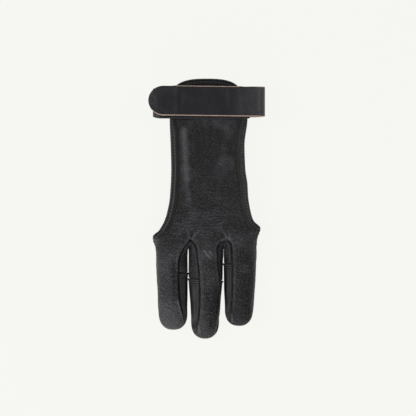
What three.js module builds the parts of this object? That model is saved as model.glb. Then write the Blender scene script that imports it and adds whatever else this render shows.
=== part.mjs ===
// A three-finger archery glove, lying on its palm side with the back of the hand up.
//
// A soft leather back panel runs from the wrist strap down over the knuckles and forms the top of
// three finger stalls. Below it a palm panel, two fourchettes and three thicker tip leathers close
// the stalls, which stay open towards the wrist. Bindings cover the raw edges, and a hook-and-loop
// strap makes the wrist loop. Millimetres, +Z up, wrist towards +Y, fingertips towards -Y. While the
// pieces are made, y is 0 at the knuckle line and x is 0 on the middle stall; the group then moves
// the middle of the whole glove to the origin, with its lowest point at z 0.

import * as THREE from "three";

// Lengths and widths of the glove, from the knuckle line.
const STEM_LENGTH = 135.3;
const STEM_WIDTH = 62;
const RING_LENGTH = 75.3;
const MIDDLE_LENGTH = 82.7;
const INDEX_LENGTH = 72.1;
const RING_WIDTH = 26.6;
const MIDDLE_WIDTH = 29;
const INDEX_WIDTH = 27.6;
const RING_SPACING = 1.1;
const INDEX_SPACING = 0.55;
const TIP_ROUNDING = 15;

// Heights above the surface that it lies on.
const STALL_HEIGHT = 14.5;
const STEM_TOP_HEIGHT = 10.8;
const STEM_SAG = 0.6;
const STEM_CROWN = 0.8;

// Leather walls and the clearance between sewn pieces.
const PANEL_WALL = 1.2;
const FOURCHETTE_WALL = 1.0;
const TIP_WALL = 1.5;
const SEAM_GAP = 0.3;
const TIP_SEAM_GAP = 0.36;

// Bindings: a strip folded round a raw edge.
const BINDING_WALL = 0.8;
const BINDING_WIDTH = 5.6;
const BINDING_CLEARANCE = 0.3;

// Wrist strap and its hook-and-loop tapes.
const STRAP_WIDTH = 25;
const STRAP_WALL = 1.6;
const STRAP_SPAN = 97.4;
const STRAP_BELOW_TOP = 5.8;
const STRAP_SHIFT = 2;
const TAB_OVERHANG = 3.4;
const TAPE_WALL = 0.8;
const TAPE_WIDTH = 22;
const LOOP_TAPE_LENGTH = 76;
const HOOK_TAPE_LENGTH = 60;

// Where the stalls, the stem and the strap stand, from their widths.
const RING_X = -(MIDDLE_WIDTH + RING_WIDTH) / 2 - RING_SPACING;
const INDEX_X = (MIDDLE_WIDTH + INDEX_WIDTH) / 2 + INDEX_SPACING;
const STEM_X = 0.031 * STEM_WIDTH;
const STRAP_X = STEM_X - 0.012 * STRAP_SPAN;
const EDGE_BEAD = BINDING_WALL + BINDING_CLEARANCE;

// Crotches between the stalls. The back panel splits at x on the knuckle line, and the palm panel
// lower, at palmX and palmY, midway between the two stalls.
const RING_CROTCH = {
  x: -0.441 * MIDDLE_WIDTH,
  palmX: -(MIDDLE_WIDTH + RING_SPACING) / 2,
  palmY: -0.073 * MIDDLE_LENGTH,
};
const INDEX_CROTCH = {
  x: 0.621 * MIDDLE_WIDTH,
  palmX: (MIDDLE_WIDTH + INDEX_SPACING) / 2,
  palmY: -0.06 * MIDDLE_LENGTH,
};

// Side edges of the stem. up is a share of STEM_LENGTH above the knuckle line and out a share of
// STEM_WIDTH from the stem's middle. The first row is the flare, where the edge meets a stall, and
// the last is the corner of the top end, which the strap covers.
const STEM_RING_EDGE = [
  { up: 0.0155, out: -0.763 },
  { up: 0.031, out: -0.736 },
  { up: 0.05, out: -0.682 },
  { up: 0.068, out: -0.652 },
  { up: 0.105, out: -0.605 },
  { up: 0.161, out: -0.564 },
  { up: 0.273, out: -0.519 },
  { up: 0.44, out: -0.502 },
  { up: 0.57, out: -0.508 },
  { up: 0.756, out: -0.522 },
  { up: 0.86, out: -0.52 },
];
const STEM_INDEX_EDGE = [
  { up: 0.0713, out: 0.722 },
  { up: 0.0868, out: 0.685 },
  { up: 0.105, out: 0.639 },
  { up: 0.124, out: 0.608 },
  { up: 0.161, out: 0.581 },
  { up: 0.273, out: 0.541 },
  { up: 0.347, out: 0.531 },
  { up: 0.44, out: 0.502 },
  { up: 0.589, out: 0.491 },
  { up: 0.756, out: 0.531 },
  { up: 0.86, out: 0.51 },
];

// The stalls. In each table along is a share of the stall's length below the knuckle line, out and
// half are shares of its width and rise is a share of STALL_HEIGHT. half is the outline's half
// width. An inner edge of the back panel lies out from the stall's middle line, and an outer edge
// lies out beyond the outline. seam is where the tip leather starts on each side.
const STALL_TABLES = {
  ring: {
    x: RING_X,
    width: RING_WIDTH,
    length: RING_LENGTH,
    lean: 0.055,
    halves: [
      { along: 0, half: 0.5 },
      { along: 0.3, half: 0.495 },
      { along: 0.55, half: 0.48 },
      { along: 0.78, half: 0.455 },
    ],
    ring: {
      outer: true,
      rows: [
        { along: 0.03, out: 0.06, rise: 0.68 },
        { along: 0.08, out: 0.024, rise: 0.44 },
        { along: 0.15, out: 0.003, rise: 0.36 },
        { along: 0.3, out: 0, rise: 0.34 },
      ],
    },
    index: {
      outer: false,
      rows: [
        { along: 0.044, out: 0.535, rise: 0.8 },
        { along: 0.1, out: 0.385, rise: 0.8 },
        { along: 0.166, out: 0.27, rise: 0.8 },
        { along: 0.255, out: 0.205, rise: 0.8 },
        { along: 0.443, out: 0.19, rise: 0.79 },
        { along: 0.62, out: 0.205, rise: 0.76 },
        { along: 0.76, out: 0.26, rise: 0.68 },
        { along: 0.864, out: 0.33, rise: 0.5 },
      ],
    },
    seam: { ring: 0.35, index: 0.36 },
  },
  middle: {
    x: 0,
    width: MIDDLE_WIDTH,
    length: MIDDLE_LENGTH,
    lean: -0.03,
    halves: [
      { along: 0, half: 0.5 },
      { along: 0.3, half: 0.5 },
      { along: 0.45, half: 0.485 },
      { along: 0.6, half: 0.445 },
      { along: 0.78, half: 0.405 },
    ],
    ring: {
      outer: false,
      rows: [
        { along: 0.03, out: -0.365, rise: 0.8 },
        { along: 0.107, out: -0.27, rise: 0.8 },
        { along: 0.22, out: -0.22, rise: 0.8 },
        { along: 0.338, out: -0.18, rise: 0.8 },
        { along: 0.569, out: -0.156, rise: 0.8 },
        { along: 0.761, out: -0.17, rise: 0.72 },
        { along: 0.89, out: -0.225, rise: 0.54 },
      ],
    },
    index: {
      outer: false,
      rows: [
        { along: 0.045, out: 0.4, rise: 0.8 },
        { along: 0.084, out: 0.335, rise: 0.8 },
        { along: 0.184, out: 0.335, rise: 0.78 },
        { along: 0.338, out: 0.375, rise: 0.74 },
        { along: 0.453, out: 0.41, rise: 0.66 },
        { along: 0.6, out: 0.415, rise: 0.52 },
        { along: 0.8, out: 0.385, rise: 0.4 },
      ],
    },
    seam: { ring: 0.386, index: 0.411 },
  },
  index: {
    x: INDEX_X,
    width: INDEX_WIDTH,
    length: INDEX_LENGTH,
    lean: -0.05,
    halves: [
      { along: 0, half: 0.5 },
      { along: 0.27, half: 0.495 },
      { along: 0.5, half: 0.478 },
      { along: 0.78, half: 0.432 },
    ],
    ring: {
      outer: false,
      rows: [
        { along: 0.046, out: -0.315, rise: 0.8 },
        { along: 0.104, out: -0.265, rise: 0.8 },
        { along: 0.272, out: -0.235, rise: 0.8 },
        { along: 0.392, out: -0.22, rise: 0.8 },
        { along: 0.565, out: -0.215, rise: 0.79 },
        { along: 0.738, out: -0.225, rise: 0.7 },
        { along: 0.872, out: -0.255, rise: 0.52 },
      ],
    },
    index: {
      outer: true,
      rows: [
        { along: 0.025, out: 0.035, rise: 0.68 },
        { along: 0.06, out: 0.004, rise: 0.44 },
        { along: 0.12, out: 0, rise: 0.36 },
        { along: 0.27, out: 0, rise: 0.34 },
      ],
    },
    seam: { ring: 0.268, index: 0.26 },
  },
};

// Height of the crown along a stall, as a share of STALL_HEIGHT.
const CROWN_HEIGHTS = [
  { along: 0, height: 0.98 },
  { along: 0.25, height: 1 },
  { along: 0.6, height: 0.97 },
  { along: 1, height: 0.86 },
];

// Edge and seam heights, as shares of STALL_HEIGHT.
const FLARE_RISE = 0.84;
const CROTCH_RISE = 0.8;
const TIP_SEAM_RISE = 0.34;
const PALM_SEAM_RISE = 0.25;

// Roundness of the curves: 2 is an ellipse, more is squarer.
const TIP_ROUNDNESS = 2.2;
const CROWN_ROUNDNESS = 2.5;
const SOLE_ROUNDNESS = 3.2;
const HEM_ROUNDNESS = 5;
const TOP_END_ROUNDNESS = 2.8;

// The corners of a stall's top lie on its rounded tip, at this share of the tip's half width.
const CORNER_ACROSS = 0.74;
// The flares reach this share of a stall below the knuckle line.
const FLARE_FADE = 0.1;
// A stall parts from its neighbour over this share of its length below a crotch.
const CROTCH_FADE = 0.04;
// Past these shares of a stall its side seams turn over to the tip, its nose curves down and its
// rows bend round the tip.
const TIP_TURN = 0.7;
const NOSE_START = 0.7;
const BEND_START = 0.5;
const BEND_POWER = 1.6;

// A stall's side wall, as shares of its height: how steeply it leaves the palm seam, and how far its
// shoulder lies in, out and below the back panel's edge.
const WALL_FOOT = 0.5;
const SHOULDER_IN = 0.3;
const SHOULDER_OUT = 0.05;
const SHOULDER_DROP = 0.18;

// The stem, as shares of the way up it: where its places across have evened out, where it has come
// down from the knuckles, where the sag ends, and how the crown and the rounded top end meet.
const EVEN_BY = 0.6;
const RISE_BY = 0.32;
const SAG_END = 0.8;
const TOP_END_START = 0.75;
const TOP_END_POWER = 1.5;
const CROWN_FADE = 0.3;

// The palm panel's hem: a share along the outer stalls, and places above the knuckle line at the two
// crotches. MOUTH_ALONG is where the outer seams reach the soles.
const HEM_ALONG = 0.006;
const HEM_RING_CROTCH_Y = 0.018 * STEM_LENGTH;
const HEM_INDEX_CROTCH_Y = 0.036 * STEM_LENGTH;
const HEM_CLEARANCE = 0.1;
const HEM_HEIGHT = EDGE_BEAD + HEM_CLEARANCE;
// The band stays at the hem's height over this share of its length, where the binding covers it.
const HEM_FLAT_SHARE = 0.5;
const MOUTH_ALONG = { ring: 0.1, index: 0.08 };

// Widths of the hem's and the top end's bindings as shares of BINDING_WIDTH, and how far the hem's
// binding reaches over the panel's last column at each side.
const HEM_BINDING_SHARE = 0.75;
const TOP_BINDING_SHARE = 0.7;
const HEM_BINDING_REACH = 0.6;

// The strap's base ends short of its fold, and the hook tape lies off the middle, by these shares of
// STRAP_SPAN. The tapes' corners are rounded by a share of their width.
const BASE_END_SHARE = 0.04;
const HOOK_TAPE_SHARE = 0.08;
const TAPE_CORNER_SHARE = 0.15;

// Facets.
const LANE_COLUMNS = 8;
const STEM_ROWS = 18;
const STALL_ROWS = 18;
const TIP_ROWS = 12;
const WALL_COLUMNS = 3;
const BAND_ROWS = 9;
const FOLD_STEPS = 8;
const TAB_STEPS = 7;
const TAB_REACH = 0.96;
const STEM_ROW_POWER = 1.4;

const SIGN = { ring: -1, index: 1 };

const clamp = (value, low, high) => Math.min(high, Math.max(low, value));
const mix = (a, b, t) => a + (b - a) * t;
const counted = (count, make) => Array.from({ length: count + 1 }, (_, i) => make(i / count, i));
const ease = (t) => {
  const c = clamp(t, 0, 1);
  return c * c * (3 - 2 * c);
};
const arch = (across, roundness) => (1 - Math.min(1, Math.abs(across)) ** roundness) ** (1 / roundness);

// Shares from 0 to 1, closer together at both ends.
const endwise = (share) => mix(share, (1 - Math.cos(Math.PI * share)) / 2, 0.5);

// Places from -1 to 1 across a stall, closer together at its sides.
const ACROSS = counted(LANE_COLUMNS, (share) => {
  const even = 2 * share - 1;
  return mix(even, Math.sin((even * Math.PI) / 2), 0.8);
});

// A smooth curve through a table's rows that never overshoots them.
function curveThrough(rows, key, value) {
  const at = rows.map((row) => row[key]);
  const to = rows.map((row) => row[value]);
  const slopes = at.slice(1).map((next, i) => (to[i + 1] - to[i]) / (next - at[i]));
  const tangents = at.map((_, i) => {
    if (i === 0) return slopes[0];
    if (i === at.length - 1) return slopes[i - 1];
    const [before, after] = [slopes[i - 1], slopes[i]];
    return before * after <= 0 ? 0 : (2 * before * after) / (before + after);
  });
  return (place) => {
    if (place <= at[0]) return to[0];
    if (place >= at[at.length - 1]) return to[to.length - 1];
    const i = at.findIndex((next) => next > place) - 1;
    const step = at[i + 1] - at[i];
    const t = (place - at[i]) / step;
    const start = (1 + 2 * t) * (1 - t) ** 2 * to[i] + t * (1 - t) ** 2 * step * tangents[i];
    return start + t * t * (3 - 2 * t) * to[i + 1] - t * t * (1 - t) * step * tangents[i + 1];
  };
}

function toGeometry(points, faces) {
  const geometry = new THREE.BufferGeometry();
  const positions = points.flatMap((point) => point.toArray());
  geometry.setAttribute("position", new THREE.Float32BufferAttribute(positions, 3));
  geometry.setIndex(faces.flat());
  geometry.computeVertexNormals();
  return geometry;
}

// A sheet of quads that becomes one closed leather wall.
class Sheet {
  constructor() {
    this.points = [];
    this.inwards = [];
    this.keys = new Map();
    this.triangles = [];
  }

  // Adds a point, or finds the one already there. inward is the way its wall goes, if it is given.
  point(position, inward = null) {
    const key = position.toArray().map((n) => Math.round(n * 1e4)).join(",");
    if (!this.keys.has(key)) {
      this.keys.set(key, this.points.length);
      this.points.push(position.clone());
      this.inwards.push(null);
    }
    const found = this.keys.get(key);
    if (inward) this.inwards[found] = inward.clone();
    return found;
  }

  // Joins rows of points. The outer side is up where rows go towards -Y and columns towards +X.
  grid(rows) {
    for (let r = 0; r + 1 < rows.length; r += 1) {
      for (let c = 0; c + 1 < rows[r].length; c += 1) {
        this.triangle(rows[r][c], rows[r + 1][c], rows[r + 1][c + 1]);
        this.triangle(rows[r][c], rows[r + 1][c + 1], rows[r][c + 1]);
      }
    }
  }

  triangle(a, b, c) {
    if (a !== b && b !== c && a !== c) this.triangles.push([a, b, c]);
  }

  // Unit normals on the outer side.
  normals() {
    const sums = this.points.map(() => new THREE.Vector3());
    for (const [a, b, c] of this.triangles) {
      const ab = new THREE.Vector3().subVectors(this.points[b], this.points[a]);
      const ac = new THREE.Vector3().subVectors(this.points[c], this.points[a]);
      const face = new THREE.Vector3().crossVectors(ab, ac);
      for (const i of [a, b, c]) sums[i].add(face);
    }
    return sums.map((sum, i) => (this.inwards[i] ? this.inwards[i].clone().negate() : sum.normalize()));
  }

  // A line of the sheet's points, each with its normal.
  line(indices) {
    const normals = this.normals();
    return indices.map((i) => ({ at: this.points[i], normal: normals[i] }));
  }

  // The sheet, its inner copy one wall inwards, and the strip round its edge.
  thicken(wall) {
    const normals = this.normals();
    const count = this.points.length;
    const inner = this.points.map((p, i) => p.clone().addScaledVector(normals[i], -wall));
    const faces = [];
    const edges = new Map();
    for (const [a, b, c] of this.triangles) {
      faces.push([a, b, c], [a + count, c + count, b + count]);
      for (const [from, to] of [[a, b], [b, c], [c, a]]) {
        const back = `${to},${from}`;
        if (edges.has(back)) edges.delete(back);
        else edges.set(`${from},${to}`, [from, to]);
      }
    }
    for (const [from, to] of edges.values()) {
      faces.push([to, from, from + count], [to, from + count, to + count]);
    }
    return toGeometry([...this.points, ...inner], faces);
  }
}

// Side edges of the stem's leather, in from its outline by the binding's bead.
function stemEdge(rows, sign) {
  const out = curveThrough(rows, "up", "out");
  return (share) => {
    const up = mix(rows[0].up, rows[rows.length - 1].up, share);
    return { x: STEM_X + STEM_WIDTH * out(up) - sign * EDGE_BEAD, y: STEM_LENGTH * up };
  };
}
const stemEdges = { ring: stemEdge(STEM_RING_EDGE, -1), index: stemEdge(STEM_INDEX_EDGE, 1) };
const FLARES = { ring: stemEdges.ring(0), index: stemEdges.index(0) };

// A stall's outline, edges and heights as functions of along. starts holds where the back panel's
// edges leave the knuckle line.
function measureStall(table, starts, crotches) {
  const tipStart = 1 - TIP_ROUNDING / table.length;
  const oval = (share) => (1 - clamp(share, 0, 1) ** TIP_ROUNDNESS) ** (1 / TIP_ROUNDNESS);
  const halfShare = curveThrough(table.halves, "along", "half");
  const tipHalf = table.width * halfShare(1);
  const tipShare = (along) => (along - tipStart) / (1 - tipStart);
  const half = (along) => table.width * halfShare(along) * oval(tipShare(along));
  const centre = (along) => table.x + table.width * table.lean * along;
  const cornerAlong = mix(tipStart, 1, oval(CORNER_ACROSS));
  const edge = (side) => {
    const { outer, rows } = table[side];
    const first = (SIGN[side] * (starts[side].x - centre(0)) - half(0)) / table.width;
    const start = outer ? first : (starts[side].x - table.x) / table.width;
    const end = outer ? 0 : (SIGN[side] * CORNER_ACROSS * tipHalf) / table.width;
    const all = [
      { along: 0, out: start, rise: starts[side].rise },
      ...rows,
      { along: cornerAlong, out: end, rise: TIP_SEAM_RISE },
    ];
    const out = curveThrough(all, "along", "out");
    const rise = curveThrough(all, "along", "rise");
    const outerX = (along) => centre(along) + SIGN[side] * (half(along) + table.width * out(along));
    const innerX = (along) => centre(along) + table.width * out(along);
    return { outer, x: outer ? outerX : innerX, z: (along) => STALL_HEIGHT * rise(along) };
  };
  const crown = curveThrough(CROWN_HEIGHTS, "along", "height");
  return {
    length: table.length,
    seam: table.seam,
    flareY: { ring: starts.ring.y, index: starts.index.y },
    crotches,
    cornerAlong,
    tipHalf,
    centre,
    half,
    tipShare,
    oval,
    crown: (along) => STALL_HEIGHT * crown(along),
    edges: { ring: edge("ring"), index: edge("index") },
  };
}

const ringCrotchStart = { x: RING_CROTCH.x, y: 0, rise: CROTCH_RISE };
const indexCrotchStart = { x: INDEX_CROTCH.x, y: 0, rise: CROTCH_RISE };
const ring = measureStall(
  STALL_TABLES.ring,
  { ring: { ...FLARES.ring, rise: FLARE_RISE }, index: ringCrotchStart },
  { ring: null, index: RING_CROTCH },
);
const middle = measureStall(
  STALL_TABLES.middle,
  { ring: ringCrotchStart, index: indexCrotchStart },
  { ring: RING_CROTCH, index: INDEX_CROTCH },
);
const index = measureStall(
  STALL_TABLES.index,
  { ring: indexCrotchStart, index: { ...FLARES.index, rise: FLARE_RISE } },
  { ring: INDEX_CROTCH, index: null },
);
const STALLS = [ring, middle, index];

// How far a row bends towards the tip at a place across it, and how far its nose has come down.
function tipBulge(stall, t) {
  const last = stall.cornerAlong;
  const x = mix(stall.edges.ring.x(last), stall.edges.index.x(last), t);
  const share = stall.oval(Math.abs(x - stall.centre(last)) / stall.tipHalf);
  return mix(stall.length - TIP_ROUNDING, stall.length, share) - last * stall.length;
}
const rowBend = (down) => Math.max(0, (down - BEND_START) / (1 - BEND_START)) ** BEND_POWER;
const noseHeight = (down) => arch(Math.max(0, (down - NOSE_START) / (1 - NOSE_START)), 2);

// A point of a stall's top: across from -1 to 1, and along to the two corners.
function topPoint(stall, across, along) {
  const t = (across + 1) / 2;
  const down = along / stall.cornerAlong;
  const fade = Math.max(0, 1 - along / FLARE_FADE) ** 2;
  const flare = mix(stall.flareY.ring, stall.flareY.index, t) * fade;
  const x = mix(stall.edges.ring.x(along), stall.edges.index.x(along), t);
  const y = flare - along * stall.length - tipBulge(stall, t) * rowBend(down);
  const edge = mix(stall.edges.ring.z(along), stall.edges.index.z(along), t);
  const round = mix(1 - across ** 2, arch(across, CROWN_ROUNDNESS), ease(along / (2 * FLARE_FADE)));
  return new THREE.Vector3(x, y, edge + (stall.crown(along) - edge) * round * noseHeight(down));
}

// The way inwards, level, from a place on a stall's outline.
function levelInward(stall, sign, along) {
  const down = clamp(stall.tipShare(along), 0, 1);
  const x = (stall.oval(down) ** (TIP_ROUNDNESS - 1)) / stall.tipHalf;
  const y = down ** (TIP_ROUNDNESS - 1) / TIP_ROUNDING;
  return new THREE.Vector3(-sign * x, y, 0).normalize();
}
function tipInward(stall, across) {
  const t = (across + 1) / 2;
  const last = stall.cornerAlong;
  const x = mix(stall.edges.ring.x(last), stall.edges.index.x(last), t) - stall.centre(last);
  return levelInward(stall, Math.sign(x), (last * stall.length + tipBulge(stall, t)) / stall.length);
}

// The back panel's edge on one side of a stall, and the tilt of its cut: 0 is square to a level
// panel and 1 is level, facing the sole below.
function cutTilt(stall, side, along) {
  if (stall.edges[side].outer) return ease(along / FLARE_FADE);
  const turn = ease((along - TIP_TURN) / (stall.cornerAlong - TIP_TURN));
  return mix(0.5 * ease(along / FLARE_FADE), 1, turn);
}
const edgePoint = (stall, side, along) => topPoint(stall, SIGN[side], along);
function edgeInward(stall, side, along) {
  const angle = (cutTilt(stall, side, along) * Math.PI) / 2;
  const level = levelInward(stall, SIGN[side], along).multiplyScalar(Math.sin(angle));
  return level.add(new THREE.Vector3(0, 0, -Math.cos(angle)));
}

// The place under the back panel's edge where the next leather is sewn to it.
function seatPoint(stall, side, along) {
  const point = edgePoint(stall, side, along);
  point.z -= PANEL_WALL * Math.cos((cutTilt(stall, side, along) * Math.PI) / 2) + SEAM_GAP;
  return point;
}

// The place on the outline where a stall's side meets its sole. Beside a crotch it closes on the
// neighbouring stall.
function palmSeamPoint(stall, side, along) {
  const seat = seatPoint(stall, side, along);
  if (stall.edges[side].outer) return seat;
  const crotch = stall.crotches[side];
  const opened = ease((along + crotch.palmY / stall.length) / CROTCH_FADE);
  const x = mix(crotch.palmX, stall.centre(along) + SIGN[side] * stall.half(along), opened);
  const turn = ease((along - TIP_TURN) / (stall.cornerAlong - TIP_TURN));
  return new THREE.Vector3(x, -along * stall.length, mix(STALL_HEIGHT * PALM_SEAM_RISE, seat.z, turn));
}

// A point of a stall's sole, with its own along on each side.
function solePoint(stall, alongs, across) {
  const t = (across + 1) / 2;
  const low = palmSeamPoint(stall, "ring", alongs.ring);
  low.lerp(palmSeamPoint(stall, "index", alongs.index), t);
  const down = mix(alongs.ring, alongs.index, t) / stall.cornerAlong;
  low.y -= tipBulge(stall, t) * rowBend(down);
  low.z *= 1 - arch(across, SOLE_ROUNDNESS) * noseHeight(down);
  return low;
}

// A point of the stem: across from -1 to 1, up from 0 at the knuckles to 1 at the top end.
function stemPoint(across, up) {
  const lane = clamp(Math.floor(((across + 1) / 2) * 3), 0, 2);
  const knuckle = topPoint(STALLS[lane], clamp((across + 1) * 3 - 2 * lane - 1, -1, 1), 0);
  const [left, right] = [stemEdges.ring(up), stemEdges.index(up)];
  const width = FLARES.index.x - FLARES.ring.x;
  const t = mix((knuckle.x - FLARES.ring.x) / width, (across + 1) / 2, ease(up / EVEN_BY));
  const edgeY = mix(left.y, right.y, t);
  const flareY = mix(FLARES.ring.y, FLARES.index.y, t);
  const bow = (STEM_LENGTH - EDGE_BEAD - edgeY) * arch(2 * t - 1, TOP_END_ROUNDNESS);
  const atTop = Math.max(0, (up - TOP_END_START) / (1 - TOP_END_START)) ** TOP_END_POWER;
  const y = edgeY + (knuckle.y - flareY) * (1 - up) + bow * atTop;
  const rest = STEM_TOP_HEIGHT - STEM_SAG * Math.sin(Math.PI * clamp(up / SAG_END, 0, 1)) ** 2;
  const crown = STEM_CROWN * (1 - across ** 2) * ease((TOP_END_START - up) / CROWN_FADE);
  const z = mix(knuckle.z, rest + crown, ease(up / RISE_BY));
  return new THREE.Vector3(mix(left.x, right.x, t), y, z);
}

// Places across all three stalls, from -1 to 1, without repeating the borders between them.
const WHOLE_ACROSS = [0, 1, 2].flatMap((lane) =>
  ACROSS.slice(lane === 0 ? 0 : 1).map((across) => ({
    lane,
    across,
    whole: (across + 1 + 2 * lane) / 3 - 1,
  })),
);

function backPanelSheet() {
  const sheet = new Sheet();
  const stemRows = counted(STEM_ROWS, (share) => {
    const up = (1 - share) ** STEM_ROW_POWER;
    return WHOLE_ACROSS.map(({ whole }) => sheet.point(stemPoint(whole, up)));
  });
  sheet.grid(stemRows);
  for (const stall of STALLS) {
    const rows = counted(STALL_ROWS, (share, r) => {
      const along = endwise(share) * stall.cornerAlong;
      return ACROSS.map((across) => {
        const side = across === -1 ? "ring" : across === 1 ? "index" : null;
        const edge = side ? edgeInward(stall, side, along) : null;
        const inward = r === STALL_ROWS ? tipInward(stall, across) : edge;
        return sheet.point(topPoint(stall, across, along), inward);
      });
    });
    sheet.grid(rows);
  }
  return { sheet, stemRows };
}

// A curve up the side of a stall, from its palm seam at up 0 to the back panel's edge at up 1.
function wallPoint(low, high, outward, up) {
  const rise = high.z - low.z;
  const first = low.clone();
  first.z += WALL_FOOT * rise;
  const second = high.clone().lerp(low, SHOULDER_IN).addScaledVector(outward, SHOULDER_OUT * rise);
  second.z = high.z - SHOULDER_DROP * rise;
  return new THREE.CubicBezierCurve3(low, first, second, high).getPoint(up);
}

// The thicker leather over a fingertip: the sole, and each side that has no fold of the back panel.
function tipLeather(stall) {
  const sheet = new Sheet();
  const gap = TIP_SEAM_GAP / stall.length;
  const rows = counted(TIP_ROWS, (share, r) => {
    const from = (side) => mix(stall.seam[side] + gap, stall.cornerAlong, endwise(share));
    const alongs = { ring: from("ring"), index: from("index") };
    const sole = ACROSS.map((across) => {
      const side = across === -1 ? "ring" : across === 1 ? "index" : null;
      const isOuter = side !== null && stall.edges[side].outer;
      const level = isOuter ? levelInward(stall, SIGN[side], alongs[side]) : null;
      return sheet.point(solePoint(stall, alongs, across), r === TIP_ROWS ? tipInward(stall, across) : level);
    });
    const wall = (side, corner) => {
      if (stall.edges[side].outer) return [];
      if (r === TIP_ROWS) return Array(WALL_COLUMNS).fill(corner);
      const along = alongs[side];
      const ends = [palmSeamPoint(stall, side, along), seatPoint(stall, side, along)];
      const outward = new THREE.Vector3(SIGN[side], 0, 0);
      return counted(WALL_COLUMNS, (up) => {
        const inward = up === 1 ? edgeInward(stall, side, along) : null;
        return sheet.point(wallPoint(...ends, outward, up), inward);
      }).slice(1);
    };
    return [...wall("ring", sole[0]).reverse(), ...sole, ...wall("index", sole[LANE_COLUMNS])].reverse();
  });
  sheet.grid(rows);
  return sheet.thicken(TIP_WALL);
}

// The palm panel above the crotches: across the whole hand, share 0 at the hem.
const BAND_BORDERS = [
  (share) => palmSeamPoint(ring, "ring", mix(HEM_ALONG, MOUTH_ALONG.ring, share)),
  (share) => crotchBorder(RING_CROTCH, HEM_RING_CROTCH_Y, share),
  (share) => crotchBorder(INDEX_CROTCH, HEM_INDEX_CROTCH_Y, share),
  (share) => palmSeamPoint(index, "index", mix(HEM_ALONG, MOUTH_ALONG.index, share)),
];
function crotchBorder(crotch, hemY, share) {
  return new THREE.Vector3(crotch.palmX, mix(hemY, crotch.palmY, share), STALL_HEIGHT * PALM_SEAM_RISE);
}
function bandPoint({ lane, across, whole }, share) {
  const outer = BAND_BORDERS[whole < 0 ? 0 : 3](share);
  const point = BAND_BORDERS[lane](share).lerp(BAND_BORDERS[lane + 1](share), (across + 1) / 2);
  const flat = HEM_HEIGHT + (outer.z - HEM_HEIGHT) * (1 - arch(whole, HEM_ROUNDNESS));
  const parted = point.z * (1 - arch(across, SOLE_ROUNDNESS));
  point.z = mix(flat, parted, ease((share - HEM_FLAT_SHARE) / (1 - HEM_FLAT_SHARE)));
  return point;
}

// The palm panel: the band across the hand and three short soles that end at the tip leathers.
function palmPanelSheet() {
  const sheet = new Sheet();
  const outerInward = { ring: new THREE.Vector3(1, 0, 0), index: new THREE.Vector3(-1, 0, 0) };
  const crotchInward = new THREE.Vector3(0, 1, 0);
  const bandRows = counted(BAND_ROWS, (share, r) =>
    WHOLE_ACROSS.map((place) => {
      const isCrotch = r === BAND_ROWS && Math.abs(place.across) === 1;
      const side = place.whole === -1 ? "ring" : place.whole === 1 ? "index" : null;
      const inward = side ? outerInward[side] : isCrotch ? crotchInward : null;
      return sheet.point(bandPoint(place, share), inward);
    }),
  );
  sheet.grid(bandRows.map((row) => row.toReversed()));
  STALLS.forEach((stall, lane) => {
    const starts = {
      ring: stall.crotches.ring ? -stall.crotches.ring.palmY / stall.length : MOUTH_ALONG.ring,
      index: stall.crotches.index ? -stall.crotches.index.palmY / stall.length : MOUTH_ALONG.index,
    };
    const rows = counted(BAND_ROWS, (share, r) => {
      const alongs = {
        ring: mix(starts.ring, stall.seam.ring, share),
        index: mix(starts.index, stall.seam.index, share),
      };
      return ACROSS.map((across) => {
        const whole = (across + 1 + 2 * lane) / 3 - 1;
        if (r === 0) return sheet.point(bandPoint({ lane, across, whole }, 1));
        const side = across === -1 ? "ring" : across === 1 ? "index" : null;
        return sheet.point(solePoint(stall, alongs, across), side ? outerInward[side] : null);
      }).reverse();
    });
    sheet.grid(rows);
  });
  return { sheet, bandRows };
}

// A fourchette: a strip that goes up the side of one stall, round the crotch and down the next.
function fourchette(from, to) {
  const sheet = new Sheet();
  const leg = (stall, side, share) => {
    const last = stall.seam[side];
    const crotchAlong = -stall.crotches[side].palmY / stall.length;
    const low = palmSeamPoint(stall, side, mix(crotchAlong, last, share));
    low.z += SEAM_GAP;
    const outward = new THREE.Vector3(SIGN[side] * share, share - 1, 0).normalize();
    const high = seatPoint(stall, side, last * share);
    return { low, high, outward, inward: edgeInward(stall, side, last * share) };
  };
  const legs = [
    ...counted(BAND_ROWS, (share) => leg(from, "index", 1 - share)),
    ...counted(BAND_ROWS, (share) => leg(to, "ring", share)).slice(1),
  ];
  const rows = legs.map(({ low, high, outward, inward }) =>
    counted(WALL_COLUMNS + 1, (up) => {
      const edge = up === 0 ? outward.clone().negate() : up === 1 ? inward : null;
      return sheet.point(wallPoint(low, high, outward, up), edge);
    }),
  );
  sheet.grid(rows);
  return sheet.thicken(FOURCHETTE_WALL);
}

// The place and normal at a distance along a line of a sheet's points.
function walk(line, distance) {
  let left = distance;
  for (let i = 0; i + 1 < line.length; i += 1) {
    const step = line[i].at.distanceTo(line[i + 1].at);
    if (left <= step || i + 2 === line.length) {
      const t = Math.min(1, left / step);
      const normal = line[i].normal.clone().lerp(line[i + 1].normal, t).normalize();
      return { at: line[i].at.clone().lerp(line[i + 1].at, t), normal };
    }
    left -= step;
  }
  return line[0];
}
function lineBetween(a, b, t) {
  return a.map(({ at, normal }, i) => ({
    at: at.clone().lerp(b[i].at, t),
    normal: normal.clone().lerp(b[i].normal, t).normalize(),
  }));
}

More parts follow.
